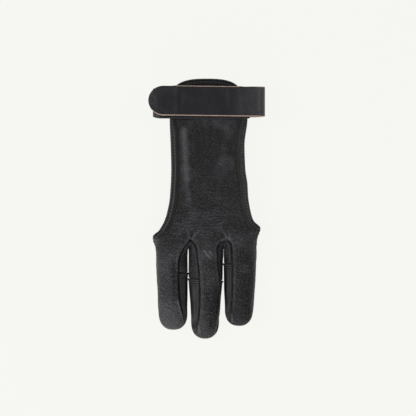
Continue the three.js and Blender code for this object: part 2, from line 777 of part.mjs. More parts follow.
// A binding round a sheet's edge: each line runs inwards from the edge. Its section goes over the
// outer side, round the edge as a bead and back under the inner side.
function binding(lines, leather, width) {
  const gap = BINDING_CLEARANCE;
  const over = gap + BINDING_WALL;
  const section = [
    { in: width, up: gap },
    { in: width, up: over },
    { in: 0.5 * width, up: over },
    { in: 0, up: over },
    { in: -0.7 * EDGE_BEAD, up: 0.3 * over },
    { in: -EDGE_BEAD, up: -0.5 * leather },
    { in: -0.7 * EDGE_BEAD, up: -leather - 0.3 * over },
    { in: 0, up: -leather - over },
    { in: 0.4 * width, up: -leather - over },
    { in: 0.8 * width, up: -leather - over },
    { in: 0.8 * width, up: -leather - gap },
    { in: 0.4 * width, up: -leather - gap },
    { in: -gap, up: -leather - gap },
    { in: -gap, up: gap },
    { in: 0.5 * width, up: gap },
  ];
  const points = lines.flatMap((line, i) => {
    const before = lines[Math.max(0, i - 1)][0].at;
    const after = lines[Math.min(lines.length - 1, i + 1)][0].at;
    const tangent = new THREE.Vector3().subVectors(after, before).normalize();
    const outward = new THREE.Vector3().crossVectors(tangent, line[0].normal).normalize();
    if (outward.dot(new THREE.Vector3().subVectors(line[1].at, line[0].at)) > 0) outward.negate();
    return section.map((corner) => {
      const { at, normal } = walk(line, Math.max(0, corner.in));
      const place = at.clone().addScaledVector(normal, corner.up);
      return place.addScaledVector(outward, Math.max(0, -corner.in));
    });
  });
  const n = section.length;
  const last = (lines.length - 1) * n;
  const outline = section.map((corner) => new THREE.Vector2(corner.in, corner.up));
  const faces = [];
  for (let s = 0; s + 1 < lines.length; s += 1) {
    for (let i = 0; i < n; i += 1) {
      const [a, b] = [s * n + i, s * n + ((i + 1) % n)];
      faces.push([a, b, b + n], [a, b + n, a + n]);
    }
  }
  for (const [a, b, c] of THREE.ShapeUtils.triangulateShape(outline, [])) {
    faces.push([a, c, b], [last + a, last + b, last + c]);
  }
  // A run of lines the other way turns the strip inside out, which its volume's sign shows.
  const volume = faces.reduce((sum, [a, b, c]) => {
    const cross = new THREE.Vector3().crossVectors(points[b], points[c]);
    return sum + points[a].dot(cross);
  }, 0);
  return toGeometry(points, volume > 0 ? faces : faces.map(([a, b, c]) => [a, c, b]));
}

// A side binding runs from the flare up to the strap, and ends under it.
function sideBinding({ sheet, stemRows }, side) {
  const lines = stemRows.slice(1).map((row) => {
    const inwards = side === "ring" ? row : row.toReversed();
    return sheet.line(inwards.slice(0, LANE_COLUMNS));
  });
  return binding(lines, PANEL_WALL, BINDING_WIDTH);
}

// The binding round the stem's top end, with its ends under the strap.
function topBinding({ sheet, stemRows }) {
  const columns = stemRows[0].map((_, c) => sheet.line(stemRows.slice(0, 3).map((row) => row[c])));
  return binding(columns.slice(2, -2), PANEL_WALL, TOP_BINDING_SHARE * BINDING_WIDTH);
}

// The binding along the palm panel's hem, which stops short of the back panel at both sides.
function hemBinding({ sheet, bandRows }) {
  const columns = bandRows[0].map((_, c) => sheet.line(bandRows.map((row) => row[c])));
  const inner = columns.slice(1, -1);
  const lines = [
    lineBetween(inner[0], columns[0], HEM_BINDING_REACH),
    ...inner,
    lineBetween(inner[inner.length - 1], columns[columns.length - 1], HEM_BINDING_REACH),
  ];
  return binding(lines, PANEL_WALL, HEM_BINDING_SHARE * BINDING_WIDTH);
}

// Heights of the layers at the wrist: the strap's base lies over the bindings, then the loop tape,
// the hook tape and the strap's tab.
const BASE_HEIGHT = STEM_TOP_HEIGHT + EDGE_BEAD + SEAM_GAP + STRAP_WALL;
const LOOP_TAPE_HEIGHT = BASE_HEIGHT + SEAM_GAP;
const HOOK_TAPE_HEIGHT = LOOP_TAPE_HEIGHT + TAPE_WALL + SEAM_GAP;
const TAB_HEIGHT = HOOK_TAPE_HEIGHT + TAPE_WALL + SEAM_GAP + STRAP_WALL;
const STRAP_Y = STEM_LENGTH - STRAP_BELOW_TOP - STRAP_WIDTH / 2;

// The strap is one band. From its inner end it runs over the stem as the base, folds under on the
// ring side, runs back below the wrist, folds up on the index side and ends in the rounded tab.
function wristStrap() {
  const sheet = new Sheet();
  const half = STRAP_WIDTH / 2;
  const ringFold = BASE_HEIGHT / 2;
  const indexFold = TAB_HEIGHT / 2;
  const ringX = STRAP_X - STRAP_SPAN / 2 + TAB_OVERHANG + ringFold;
  const indexX = STRAP_X + STRAP_SPAN / 2 - indexFold;
  const baseEnd = indexX - BASE_END_SHARE * STRAP_SPAN;
  const tabEnd = STRAP_X - STRAP_SPAN / 2;
  const straight = (from, to, z, shifts, steps) =>
    counted(steps, (share) => ({ x: mix(from, to, share), z, shift: mix(...shifts, share), half }));
  const fold = (x, radius, sign, shift) =>
    counted(FOLD_STEPS, (share) => {
      const turn = Math.PI * share;
      return { x: x + sign * radius * Math.sin(turn), z: radius * (1 - sign * Math.cos(turn)), shift, half };
    }).slice(1, -1);
  const tabRounding = counted(TAB_STEPS, (share) => {
    const turn = (TAB_REACH * share * Math.PI) / 2;
    return { x: tabEnd + half * (1 - Math.sin(turn)), z: TAB_HEIGHT, shift: 0, half: half * Math.cos(turn) };
  }).slice(1);
  const sections = [
    ...straight(baseEnd, ringX, BASE_HEIGHT, [STRAP_SHIFT, STRAP_SHIFT], 3),
    ...fold(ringX, ringFold, -1, STRAP_SHIFT),
    ...straight(ringX, indexX, 0, [STRAP_SHIFT, STRAP_SHIFT / 2], 3),
    ...fold(indexX, indexFold, 1, STRAP_SHIFT / 2),
    ...straight(indexX, tabEnd + half, TAB_HEIGHT, [STRAP_SHIFT / 2, 0], 4),
    ...tabRounding,
  ];
  const rows = sections.map(({ x, z, shift, half: reach }) =>
    counted(4, (share) => sheet.point(new THREE.Vector3(x, STRAP_Y - shift + reach * (2 * share - 1), z))),
  );
  sheet.grid(rows.reverse());
  return sheet.thicken(STRAP_WALL);
}

// A flat tape with rounded corners.
function tape(length) {
  const [l, w] = [length / 2, TAPE_WIDTH / 2];
  const r = TAPE_CORNER_SHARE * TAPE_WIDTH;
  const shape = new THREE.Shape();
  shape.absarc(l - r, r - w, r, -Math.PI / 2, 0);
  shape.absarc(l - r, w - r, r, 0, Math.PI / 2);
  shape.absarc(r - l, w - r, r, Math.PI / 2, Math.PI);
  shape.absarc(r - l, r - w, r, Math.PI, 1.5 * Math.PI);
  return new THREE.ExtrudeGeometry(shape, { depth: TAPE_WALL, bevelEnabled: false, curveSegments: 4 });
}

const materials = {
  softLeather: new THREE.MeshStandardMaterial({ color: 0x2e2e30, roughness: 0.55, metalness: 0 }),
  tipLeather: new THREE.MeshStandardMaterial({ color: 0x2a2a2b, roughness: 0.45, metalness: 0 }),
  bindingLeather: new THREE.MeshStandardMaterial({ color: 0x29282a, roughness: 0.5, metalness: 0 }),
  strapLeather: new THREE.MeshStandardMaterial({ color: 0x2c2c2e, roughness: 0.5, metalness: 0 }),
  tapeNylon: new THREE.MeshStandardMaterial({ color: 0x0e0e0f, roughness: 0.9, metalness: 0 }),
};

const glove = new THREE.Group();
function add(name, geometry, material) {
  const mesh = new THREE.Mesh(geometry, material);
  mesh.name = name;
  glove.add(mesh);
  return mesh;
}

const backPanel = backPanelSheet();
const palmPanel = palmPanelSheet();
add("back_panel", backPanel.sheet.thicken(PANEL_WALL), materials.softLeather);
add("palm_panel", palmPanel.sheet.thicken(PANEL_WALL), materials.softLeather);
add("fourchette_ring_middle", fourchette(ring, middle), materials.softLeather);
add("fourchette_middle_index", fourchette(middle, index), materials.softLeather);
add("tip_leather_ring", tipLeather(ring), materials.tipLeather);
add("tip_leather_middle", tipLeather(middle), materials.tipLeather);
add("tip_leather_index", tipLeather(index), materials.tipLeather);
add("binding_ring_side", sideBinding(backPanel, "ring"), materials.bindingLeather);
add("binding_index_side", sideBinding(backPanel, "index"), materials.bindingLeather);
add("binding_top_end", topBinding(backPanel), materials.bindingLeather);
add("binding_palm_hem", hemBinding(palmPanel), materials.bindingLeather);
add("wrist_strap", wristStrap(), materials.strapLeather);

const loopTape = add("loop_tape", tape(LOOP_TAPE_LENGTH), materials.tapeNylon);
loopTape.position.set(STRAP_X, STRAP_Y - STRAP_SHIFT, LOOP_TAPE_HEIGHT);
const hookTape = add("hook_tape", tape(HOOK_TAPE_LENGTH), materials.tapeNylon);
hookTape.position.set(STRAP_X - HOOK_TAPE_SHARE * STRAP_SPAN, STRAP_Y, HOOK_TAPE_HEIGHT);

glove.updateMatrixWorld(true);
const extent = new THREE.Box3().setFromObject(glove);
const middlePoint = extent.getCenter(new THREE.Vector3());
glove.position.set(-middlePoint.x, -middlePoint.y, -extent.min.z);

export default glove;
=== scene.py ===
"""The looks of a three-finger archery glove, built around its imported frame.

The glove lies on its palm side, wrist towards +Y and the back of the hand up. Its leather pieces are
remade here from the same sizes as the solids, at a finer step, with their creases, seams, stitches
and raw edges. Lengths are millimetres from the knuckle line and the middle stall until a mesh is
made. A mesh is in metres, in the frame.
"""

import logging
import math
from collections.abc import Callable, Sequence
from dataclasses import dataclass, field
from enum import Enum
from typing import NamedTuple

import bpy
import numpy as np
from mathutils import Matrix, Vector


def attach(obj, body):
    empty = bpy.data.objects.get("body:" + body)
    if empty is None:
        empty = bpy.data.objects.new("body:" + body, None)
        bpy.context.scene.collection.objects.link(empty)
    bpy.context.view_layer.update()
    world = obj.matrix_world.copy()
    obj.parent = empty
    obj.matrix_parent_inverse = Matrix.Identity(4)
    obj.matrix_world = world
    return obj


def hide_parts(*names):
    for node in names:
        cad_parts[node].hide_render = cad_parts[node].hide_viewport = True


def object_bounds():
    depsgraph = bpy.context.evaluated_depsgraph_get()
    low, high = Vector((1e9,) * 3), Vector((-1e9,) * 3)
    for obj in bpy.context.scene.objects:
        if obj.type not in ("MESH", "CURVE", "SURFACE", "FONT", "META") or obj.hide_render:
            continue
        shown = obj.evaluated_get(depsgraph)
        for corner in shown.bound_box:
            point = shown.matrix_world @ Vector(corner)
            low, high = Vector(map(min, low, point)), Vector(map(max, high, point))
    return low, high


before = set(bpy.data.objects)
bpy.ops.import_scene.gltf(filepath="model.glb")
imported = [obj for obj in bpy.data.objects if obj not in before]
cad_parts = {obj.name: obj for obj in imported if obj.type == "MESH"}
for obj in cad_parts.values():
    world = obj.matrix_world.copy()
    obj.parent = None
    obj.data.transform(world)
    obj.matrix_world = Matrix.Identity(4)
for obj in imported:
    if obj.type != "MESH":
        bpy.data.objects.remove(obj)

LOG = logging.getLogger("archery_glove")
MM = 0.001
Array = np.ndarray
Tree = bpy.types.NodeTree
Socket = bpy.types.NodeSocket
Colour = tuple[float, float, float, float]


class Side(Enum):
    """The two sides of a stall or of the stem, with the sign of X there."""

    RING = -1
    INDEX = 1

    @property
    def column(self) -> int:
        """A grid's column on this side, where columns go towards +X."""
        return 0 if self is Side.RING else -1


class Surface(Enum):
    """The three kinds of surface on a cut piece of leather, in the order of its material slots."""

    GRAIN = 0
    FLESH = 1
    RAW_EDGE = 2


@dataclass(frozen=True)
class Sizes:
    """Driving sizes of the glove in millimetres, the same as those of its solids."""

    stem_length: float = 135.3
    stem_width: float = 62.0
    ring_length: float = 75.3
    middle_length: float = 82.7
    index_length: float = 72.1
    ring_width: float = 26.6
    middle_width: float = 29.0
    index_width: float = 27.6
    ring_spacing: float = 1.1
    index_spacing: float = 0.55
    tip_rounding: float = 15.0
    stall_height: float = 14.5
    stem_top_height: float = 10.8
    stem_sag: float = 0.6
    stem_crown: float = 0.8
    panel_wall: float = 1.2
    fourchette_wall: float = 1.0
    tip_wall: float = 1.5
    seam_gap: float = 0.3
    tip_seam_gap: float = 0.36
    binding_wall: float = 0.8
    binding_width: float = 5.6
    binding_clearance: float = 0.3
    strap_width: float = 25.0
    strap_wall: float = 1.6
    strap_span: float = 97.4
    strap_below_top: float = 5.8
    strap_shift: float = 2.0
    tab_overhang: float = 3.4
    tape_wall: float = 0.8
    tape_width: float = 22.0
    loop_tape_length: float = 76.0
    hook_tape_length: float = 60.0

    @property
    def edge_bead(self) -> float:
        """How far a binding stands out past the leather's edge."""
        return self.binding_wall + self.binding_clearance

    @property
    def stem_x(self) -> float:
        """The stem's middle line."""
        return 0.031 * self.stem_width

    @property
    def strap_x(self) -> float:
        """The strap's middle."""
        return self.stem_x - 0.012 * self.strap_span

    @property
    def strap_y(self) -> float:
        """The middle of the tab's width."""
        return self.stem_length - self.strap_below_top - self.strap_width / 2

    @property
    def base_height(self) -> float:
        """Top of the strap's base, which lies over the bindings."""
        return self.stem_top_height + self.edge_bead + self.seam_gap + self.strap_wall

    @property
    def loop_tape_height(self) -> float:
        """Underside of the loop tape."""
        return self.base_height + self.seam_gap

    @property
    def hook_tape_height(self) -> float:
        """Underside of the hook tape."""
        return self.loop_tape_height + self.tape_wall + self.seam_gap

    @property
    def tab_height(self) -> float:
        """Top of the strap's tab."""
        return self.hook_tape_height + self.tape_wall + self.seam_gap + self.strap_wall


SIZE = Sizes()

# Edge and seam heights, as shares of the stall height.
FLARE_RISE = 0.84
CROTCH_RISE = 0.8
TIP_SEAM_RISE = 0.34
PALM_SEAM_RISE = 0.25

# Roundness of the curves: 2 is an ellipse, more is squarer.
TIP_ROUNDNESS = 2.4
CROWN_ROUNDNESS = 2.5
SOLE_ROUNDNESS = 3.2
HEM_ROUNDNESS = 5.0
TOP_END_ROUNDNESS = 2.8

# Shares of a stall where its forms start, end and fade, and the power of its tip's bend.
CORNER_ACROSS = 0.74
FLARE_FADE = 0.1
CROTCH_FADE = 0.04
TIP_TURN = 0.7
NOSE_START = 0.7
BEND_START = 0.5
BEND_POWER = 1.6

# Tilt of the panel's cut edge beside a crotch, as a share of upright.
INNER_TILT = 0.5

# A stall's side wall, as shares of its height.
WALL_FOOT = 0.5
SHOULDER_IN = 0.3
SHOULDER_OUT = 0.05
SHOULDER_DROP = 0.18

# The stem, as shares of the way up it, with the power of its top end's bow and of its rows.
EVEN_BY = 0.6
RISE_BY = 0.32
# Worn in by the strap, the stem is narrower at its top end, in millimetres on each side.
NARROW_START = 0.92
TOP_NARROWING = {Side.RING: 0.6, Side.INDEX: 2.6}
# The valleys between the knuckles are gone by here.
VALLEY_END = 0.1
SAG_END = 0.8
TOP_END_START = 0.75
TOP_END_POWER = 1.5
CROWN_FADE = 0.3
STEM_ROW_POWER = 1.4

# The palm panel's hem.
HEM_ALONG = 0.006
HEM_RING_CROTCH = 0.018
HEM_INDEX_CROTCH = 0.036
HEM_CLEARANCE = 0.1
HEM_FLAT_SHARE = 0.5

# Steps of the leather grids.
LANE_COLUMNS = 40
WALL_COLUMNS = 22


def mix(a: Array | float, b: Array | float, t: Array | float) -> Array | float:
    """Goes from a at t 0 to b at t 1."""
    return a + (b - a) * t


def ease(t: Array | float) -> Array:
    """A smooth step from 0 to 1."""
    c = np.clip(t, 0.0, 1.0)
    return c * c * (3 - 2 * c)


def arch(across: Array | float, roundness: float) -> Array:
    """Height of a rounded arch at a place from -1 to 1 across it."""
    reach = np.minimum(1.0, np.abs(across))
    return (1 - reach**roundness) ** (1 / roundness)


def endwise(share: Array) -> Array:
    """Shares from 0 to 1, closer together at both ends."""
    return mix(share, (1 - np.cos(np.pi * share)) / 2, 0.5)


def bell(distance: Array, width: float) -> Array:
    """A smooth bump, 1 at distance 0 and nearly gone at twice its width."""
    return np.exp(-((distance / width) ** 2))


class Span(NamedTuple):
    """A stretch over which something sets in."""

    start: float
    end: float

    def share(self, place: Array) -> Array:
        """A smooth step, 0 at the start and 1 at the end, which may lie before it."""
        return ease((place - self.start) / (self.end - self.start))


def distances(line: Array) -> Array:
    """How far along a line each of its points is."""
    return np.concatenate([[0], np.cumsum(np.linalg.norm(np.diff(line, axis=0), axis=1))])


def between(place: Array | float, at: Array, values: Array) -> Array:
    """Points or directions at places along a line, from those at its own points."""
    return np.stack([np.interp(place, at, values[:, i]) for i in range(3)], axis=-1)


def stack(x: Array | float, y: Array | float, z: Array | float) -> Array:
    """Points from their three coordinates, which may be arrays or single values."""
    return np.stack(np.broadcast_arrays(x, y, z), axis=-1).astype(float)


def unit(vectors: Array) -> Array:
    """The same directions with a length of 1."""
    return vectors / np.maximum(np.linalg.norm(vectors, axis=-1, keepdims=True), 1e-12)


def unset(points: Array) -> Array:
    """Directions for a grid of points, none of them given yet."""
    return np.full(points.shape, np.nan)


class Curve:
    """A smooth curve through a table's rows that never overshoots them."""

    def __init__(self, at: Sequence[float], to: Sequence[float]) -> None:
        """Works out the slopes.

        Args:
            at: Places of the rows, rising.
            to: Values at those places.
        """
        self.at = np.array(at, float)
        self.to = np.array(to, float)
        slopes = np.diff(self.to) / np.diff(self.at)
        before, after = slopes[:-1], slopes[1:]
        same = before * after > 0
        middle = np.where(same, 2 * before * after / np.where(same, before + after, 1), 0)
        self.tangents = np.concatenate([slopes[:1], middle, slopes[-1:]])

    def __call__(self, place: Array | float) -> Array:
        """Values of the curve.

        Args:
            place: Places, held within the table's own.

        Returns:
            A value for each place.
        """
        held = np.clip(place, self.at[0], self.at[-1])
        i = np.clip(np.searchsorted(self.at, held, side="right") - 1, 0, len(self.at) - 2)
        step = self.at[i + 1] - self.at[i]
        t = (held - self.at[i]) / step
        start = (1 + 2 * t) * (1 - t) ** 2 * self.to[i] + t * (1 - t) ** 2 * step * self.tangents[i]
        end = t * t * (3 - 2 * t) * self.to[i + 1] - t * t * (1 - t) * step * self.tangents[i + 1]
        return start + end


class Noise:
    """Smooth seeded noise over a plane, from about -1 to 1."""

    CELLS = 64

    def __init__(self, seed: int) -> None:
        """Draws the table of values that the noise repeats."""
        self.table = np.random.default_rng(seed).uniform(-1, 1, (self.CELLS, self.CELLS))

    def __call__(self, x: Array, y: Array) -> Array:
        """Noise at some places.

        Args:
            x: Places in cells of the table.
            y: The same, the other way.

        Returns:
            A value for each place.
        """
        i, j = np.floor(x).astype(int), np.floor(y).astype(int)
        u, v = ease(x - i), ease(y - j)
        n = self.CELLS
        low = mix(self.table[i % n, j % n], self.table[(i + 1) % n, j % n], u)
        high = mix(self.table[i % n, (j + 1) % n], self.table[(i + 1) % n, (j + 1) % n], u)
        return mix(low, high, v)


class EdgeStart(NamedTuple):
    """Where an edge of the back panel leaves the knuckle line."""

    x: float
    y: float
    rise: float


class Crotch(NamedTuple):
    """Where the palm panel splits between two stalls."""

    x: float
    palm_x: float
    palm_y: float


# Places on the stem's edges: how far up and how far out, as shares of its length and width.
STEM_EDGES = {
    Side.RING: (
        (0.0155, -0.763), (0.031, -0.736), (0.05, -0.682), (0.068, -0.652), (0.105, -0.605),
        (0.161, -0.564), (0.273, -0.519), (0.44, -0.502), (0.57, -0.508), (0.756, -0.522), (0.86, -0.52),
    ),
    Side.INDEX: (
        (0.0713, 0.722), (0.0868, 0.685), (0.105, 0.639), (0.124, 0.608), (0.161, 0.581), (0.273, 0.541),
        (0.347, 0.531), (0.44, 0.502), (0.589, 0.491), (0.756, 0.531), (0.86, 0.51),
    ),
}

CROWN = Curve((0, 0.25, 0.6, 1), (0.98, 1, 0.97, 0.86))


def stem_edge(side: Side, share: Array | float) -> tuple[Array, Array]:
    """The leather's edge beside the stem, in from its outline by the binding's bead.

    Args:
        side: Which edge.
        share: From 0 at the flare to 1 under the strap.

    Returns:
        X and Y.
    """
    ups, outs = zip(*STEM_EDGES[side])
    up = mix(ups[0], ups[-1], share)
    x = SIZE.stem_x + SIZE.stem_width * Curve(ups, outs)(up) - side.value * SIZE.edge_bead
    return x, SIZE.stem_length * up


@dataclass(frozen=True)
class StallTable:
    """A stall's sizes, and its outline and edges as shares of them."""

    x: float
    width: float
    length: float
    lean: float
    # Rows of places along it and half widths, and of places along, out and up on each edge.
    halves: tuple[tuple[float, float], ...]
    edges: dict[Side, tuple[tuple[float, float, float], ...]]
    seam: dict[Side, float]


@dataclass
class Stall:
    """One finger stall: its outline, edges and surfaces as functions of along and across."""

    table: StallTable
    # Where its two edges leave the knuckle line, and the crotch on each side that has one.
    starts: dict[Side, EdgeStart]
    crotches: dict[Side, Crotch]
    # Curves of its edges, outwards and in height.
    outs: dict[Side, Curve] = field(default_factory=dict)
    rises: dict[Side, Curve] = field(default_factory=dict)

    def __post_init__(self) -> None:
        """Works out its corners and its edges' curves."""
        self.length = self.table.length
        self.tip_start = 1 - SIZE.tip_rounding / self.length
        self.half_share = Curve(*zip(*self.table.halves))
        self.tip_half = float(self.table.width * self.half_share(1))
        self.corner_along = float(mix(self.tip_start, 1, self.oval(CORNER_ACROSS)))
        for side in Side:
            self._measure_edge(side)

    def _measure_edge(self, side: Side) -> None:
        """Makes the curves of one edge from its rows and its two ends.

        Args:
            side: Which edge.
        """
        start = self.starts[side]
        alongs, outs, rises = zip(*self.table.edges[side])
        if side in self.crotches:
            first = (start.x - self.table.x) / self.table.width
            last = side.value * CORNER_ACROSS * self.tip_half / self.table.width
        else:
            first = (side.value * (start.x - self.centre(0)) - self.half(0)) / self.table.width
            last = 0.0
        at = [0.0, *alongs, self.corner_along]
        self.outs[side] = Curve(at, [float(first), *outs, last])
        self.rises[side] = Curve(at, [start.rise, *rises, TIP_SEAM_RISE])

    def is_outer(self, side: Side) -> bool:
        """Whether a side faces out of the hand."""
        return side not in self.crotches

    def oval(self, share: Array | float) -> Array:
        """The rounded tip's half width as a share of the full one."""
        return (1 - np.clip(share, 0, 1) ** TIP_ROUNDNESS) ** (1 / TIP_ROUNDNESS)

    def tip_share(self, along: Array | float) -> Array:
        """How far a place is into the rounded tip."""
        return (along - self.tip_start) / (1 - self.tip_start)

    def half(self, along: Array | float) -> Array:
        """The outline's half width."""
        return self.table.width * self.half_share(along) * self.oval(self.tip_share(along))

    def centre(self, along: Array | float) -> Array:
        """X of the stall's middle line."""
        return self.table.x + self.table.width * self.table.lean * along

    def edge_x(self, side: Side, along: Array | float) -> Array:
        """X of the back panel's edge.

        Args:
            side: Which edge. An outer one is measured past the outline, an inner one from the middle.
            along: Places along it.

        Returns:
            Millimetres.
        """
        out = self.table.width * self.outs[side](along)
        if self.is_outer(side):
            return self.centre(along) + side.value * (self.half(along) + out)
        return self.centre(along) + out

    def edge_z(self, side: Side, along: Array | float) -> Array:
        """Height of the back panel's edge."""
        return SIZE.stall_height * self.rises[side](along)

    def corner_x(self, t: Array | float) -> Array:
        """X from the middle line along the row that joins the two corners, at a share across it."""
        last = self.corner_along
        return mix(self.edge_x(Side.RING, last), self.edge_x(Side.INDEX, last), t) - self.centre(last)

    def tip_bulge(self, t: Array | float) -> Array:
        """How far a row bends towards the tip, at a share across it."""
        share = self.oval(np.abs(self.corner_x(t)) / self.tip_half)
        return mix(self.length - SIZE.tip_rounding, self.length, share) - self.corner_along * self.length

    def top_point(self, across: Array, along: Array) -> Array:
        """Points of the stall's top.

        Args:
            across: From -1 to 1, ring side to index side.
            along: From 0 at the knuckle line to the stall's corners.

        Returns:
            The points.
        """
        t = (across + 1) / 2
        down = along / self.corner_along
        fade = np.maximum(0, 1 - along / FLARE_FADE) ** 2
        flare = mix(self.starts[Side.RING].y, self.starts[Side.INDEX].y, t) * fade
        x = mix(self.edge_x(Side.RING, along), self.edge_x(Side.INDEX, along), t)
        y = flare - along * self.length - self.tip_bulge(t) * row_bend(down)
        edge = mix(self.edge_z(Side.RING, along), self.edge_z(Side.INDEX, along), t)
        rounding = mix(1 - across**2, arch(across, CROWN_ROUNDNESS), ease(along / (2 * FLARE_FADE)))
        z = edge + (SIZE.stall_height * CROWN(along) - edge) * rounding * nose_height(down)
        return stack(x, y, z)

    def level_inward(self, sign: Array | float, along: Array | float) -> Array:
        """The level way inwards from the outline.

        Args:
            sign: -1 on the ring side, 1 on the index side.
            along: Places along the stall.

        Returns:
            Unit vectors.
        """
        down = np.clip(self.tip_share(along), 0, 1)
        x = self.oval(down) ** (TIP_ROUNDNESS - 1) / self.tip_half
        return unit(stack(-sign * x, down ** (TIP_ROUNDNESS - 1) / SIZE.tip_rounding, 0.0))

    def tip_inward(self, across: Array) -> Array:
        """The level way inwards along the row that joins the two corners."""
        t = (across + 1) / 2
        along = self.corner_along + self.tip_bulge(t) / self.length
        return self.level_inward(np.sign(self.corner_x(t)), along)

    def turn(self, along: Array | float) -> Array:
        """How far a side seam has turned over to the tip."""
        return ease((along - TIP_TURN) / (self.corner_along - TIP_TURN))

    def cut_angle(self, side: Side, along: Array | float) -> Array:
        """Tilt of the back panel's cut edge in radians, 0 where it is square to a level panel."""
        fade = ease(along / FLARE_FADE)
        return (fade if self.is_outer(side) else mix(INNER_TILT * fade, 1, self.turn(along))) * math.pi / 2

    def edge_inward(self, side: Side, along: Array | float) -> Array:
        """The way that the back panel's wall goes at its edge."""
        level, angle = self.level_inward(side.value, along), self.cut_angle(side, along)
        return level * np.sin(angle)[..., None] - stack(0.0, 0.0, np.cos(angle))

    def seat_point(self, side: Side, along: Array | float) -> Array:
        """Places under the back panel's edge where the next leather is sewn to it."""
        drop = SIZE.panel_wall * np.cos(self.cut_angle(side, along)) + SIZE.seam_gap
        return self.top_point(np.float64(side.value), np.asarray(along, float)) - stack(0.0, 0.0, drop)

    def palm_seam_point(self, side: Side, along: Array | float) -> Array:
        """Places on the outline where the stall's side meets its sole.

        Args:
            side: Which side.
            along: Places along it.

        Returns:
            The points.
        """
        seat = self.seat_point(side, along)
        if self.is_outer(side):
            return seat
        crotch = self.crotches[side]
        opened = ease((along + crotch.palm_y / self.length) / CROTCH_FADE)
        x = mix(crotch.palm_x, self.centre(along) + side.value * self.half(along), opened)
        z = mix(SIZE.stall_height * PALM_SEAM_RISE, seat[..., 2], self.turn(along))
        return stack(x, -np.asarray(along) * self.length, z)

    def sole_point(self, along_ring: Array, along_index: Array, across: Array) -> Array:
        """Points of the sole.

        Args:
            along_ring: Places along the ring side.
            along_index: Places along the index side.
            across: From -1 to 1, ring side to index side.

        Returns:
            The points.
        """
        t = (across + 1) / 2
        ring = self.palm_seam_point(Side.RING, along_ring)
        index = self.palm_seam_point(Side.INDEX, along_index)
        low = mix(ring, index, np.broadcast_to(t, ring.shape[:1] + t.shape[1:])[..., None])
        down = mix(along_ring, along_index, t) / self.corner_along
        low[..., 1] -= self.tip_bulge(t) * row_bend(down)
        low[..., 2] *= 1 - arch(across, SOLE_ROUNDNESS) * nose_height(down)
        return low


def row_bend(down: Array) -> Array:
    """How much of the tip's bend a row of a stall has."""
    return np.maximum(0, (down - BEND_START) / (1 - BEND_START)) ** BEND_POWER


def nose_height(down: Array) -> Array:
    """How much of its height a stall keeps towards its nose."""
    return arch(np.maximum(0, (down - NOSE_START) / (1 - NOSE_START)), 2)


def flare(side: Side) -> EdgeStart:
    """Where the stem's edge meets the outer side of a stall."""
    x, y = stem_edge(side, 0.0)
    return EdgeStart(float(x), float(y), FLARE_RISE)


RING_CROTCH = Crotch(
    x=-0.441 * SIZE.middle_width,
    palm_x=-(SIZE.middle_width + SIZE.ring_spacing) / 2,
    palm_y=-0.073 * SIZE.middle_length,
)
INDEX_CROTCH = Crotch(
    x=0.621 * SIZE.middle_width,
    palm_x=(SIZE.middle_width + SIZE.index_spacing) / 2,
    palm_y=-0.06 * SIZE.middle_length,
)
RING_SPLIT = EdgeStart(RING_CROTCH.x, 0.0, CROTCH_RISE)
INDEX_SPLIT = EdgeStart(INDEX_CROTCH.x, 0.0, CROTCH_RISE)

RING_TABLE = StallTable(
    x=-(SIZE.middle_width + SIZE.ring_width) / 2 - SIZE.ring_spacing,
    width=SIZE.ring_width,
    length=SIZE.ring_length,
    lean=0.055,
    halves=((0, 0.5), (0.3, 0.495), (0.55, 0.48), (0.78, 0.455)),
    edges={
        Side.RING: ((0.03, 0.06, 0.68), (0.08, 0.024, 0.44), (0.15, 0.003, 0.36), (0.3, 0, 0.34)),
        Side.INDEX: (
            (0.044, 0.535, 0.8), (0.1, 0.385, 0.8), (0.166, 0.27, 0.8), (0.255, 0.205, 0.8),
            (0.443, 0.19, 0.79), (0.62, 0.205, 0.76), (0.76, 0.26, 0.68), (0.864, 0.33, 0.5),
        ),
    },
    seam={Side.RING: 0.35, Side.INDEX: 0.36},
)
RING_STALL = Stall(
    RING_TABLE, {Side.RING: flare(Side.RING), Side.INDEX: RING_SPLIT}, {Side.INDEX: RING_CROTCH}
)
MIDDLE_TABLE = StallTable(
    x=0.0,
    width=SIZE.middle_width,
    length=SIZE.middle_length,
    lean=-0.03,
    halves=((0, 0.5), (0.3, 0.5), (0.45, 0.485), (0.6, 0.445), (0.78, 0.405)),
    edges={
        Side.RING: (
            (0.03, -0.365, 0.8), (0.107, -0.27, 0.8), (0.22, -0.22, 0.8), (0.338, -0.18, 0.8),
            (0.569, -0.156, 0.8), (0.761, -0.17, 0.72), (0.89, -0.225, 0.54),
        ),
        Side.INDEX: (
            (0.045, 0.4, 0.8), (0.084, 0.335, 0.8), (0.184, 0.335, 0.78), (0.338, 0.375, 0.74),
            (0.453, 0.41, 0.66), (0.6, 0.415, 0.52), (0.8, 0.385, 0.4),
        ),
    },
    seam={Side.RING: 0.386, Side.INDEX: 0.411},
)
MIDDLE_STALL = Stall(
    MIDDLE_TABLE,
    {Side.RING: RING_SPLIT, Side.INDEX: INDEX_SPLIT},
    {Side.RING: RING_CROTCH, Side.INDEX: INDEX_CROTCH},
)
INDEX_TABLE = StallTable(
    x=(SIZE.middle_width + SIZE.index_width) / 2 + SIZE.index_spacing,
    width=SIZE.index_width,
    length=SIZE.index_length,
    lean=-0.05,
    halves=((0, 0.5), (0.27, 0.495), (0.5, 0.478), (0.78, 0.432)),
    edges={
        Side.RING: (
            (0.046, -0.315, 0.8), (0.104, -0.265, 0.8), (0.272, -0.235, 0.8), (0.392, -0.22, 0.8),
            (0.565, -0.215, 0.79), (0.738, -0.225, 0.7), (0.872, -0.255, 0.52),
        ),
        Side.INDEX: ((0.025, 0.035, 0.68), (0.06, 0.004, 0.44), (0.12, 0, 0.36), (0.27, 0, 0.34)),
    },
    seam={Side.RING: 0.268, Side.INDEX: 0.26},
)
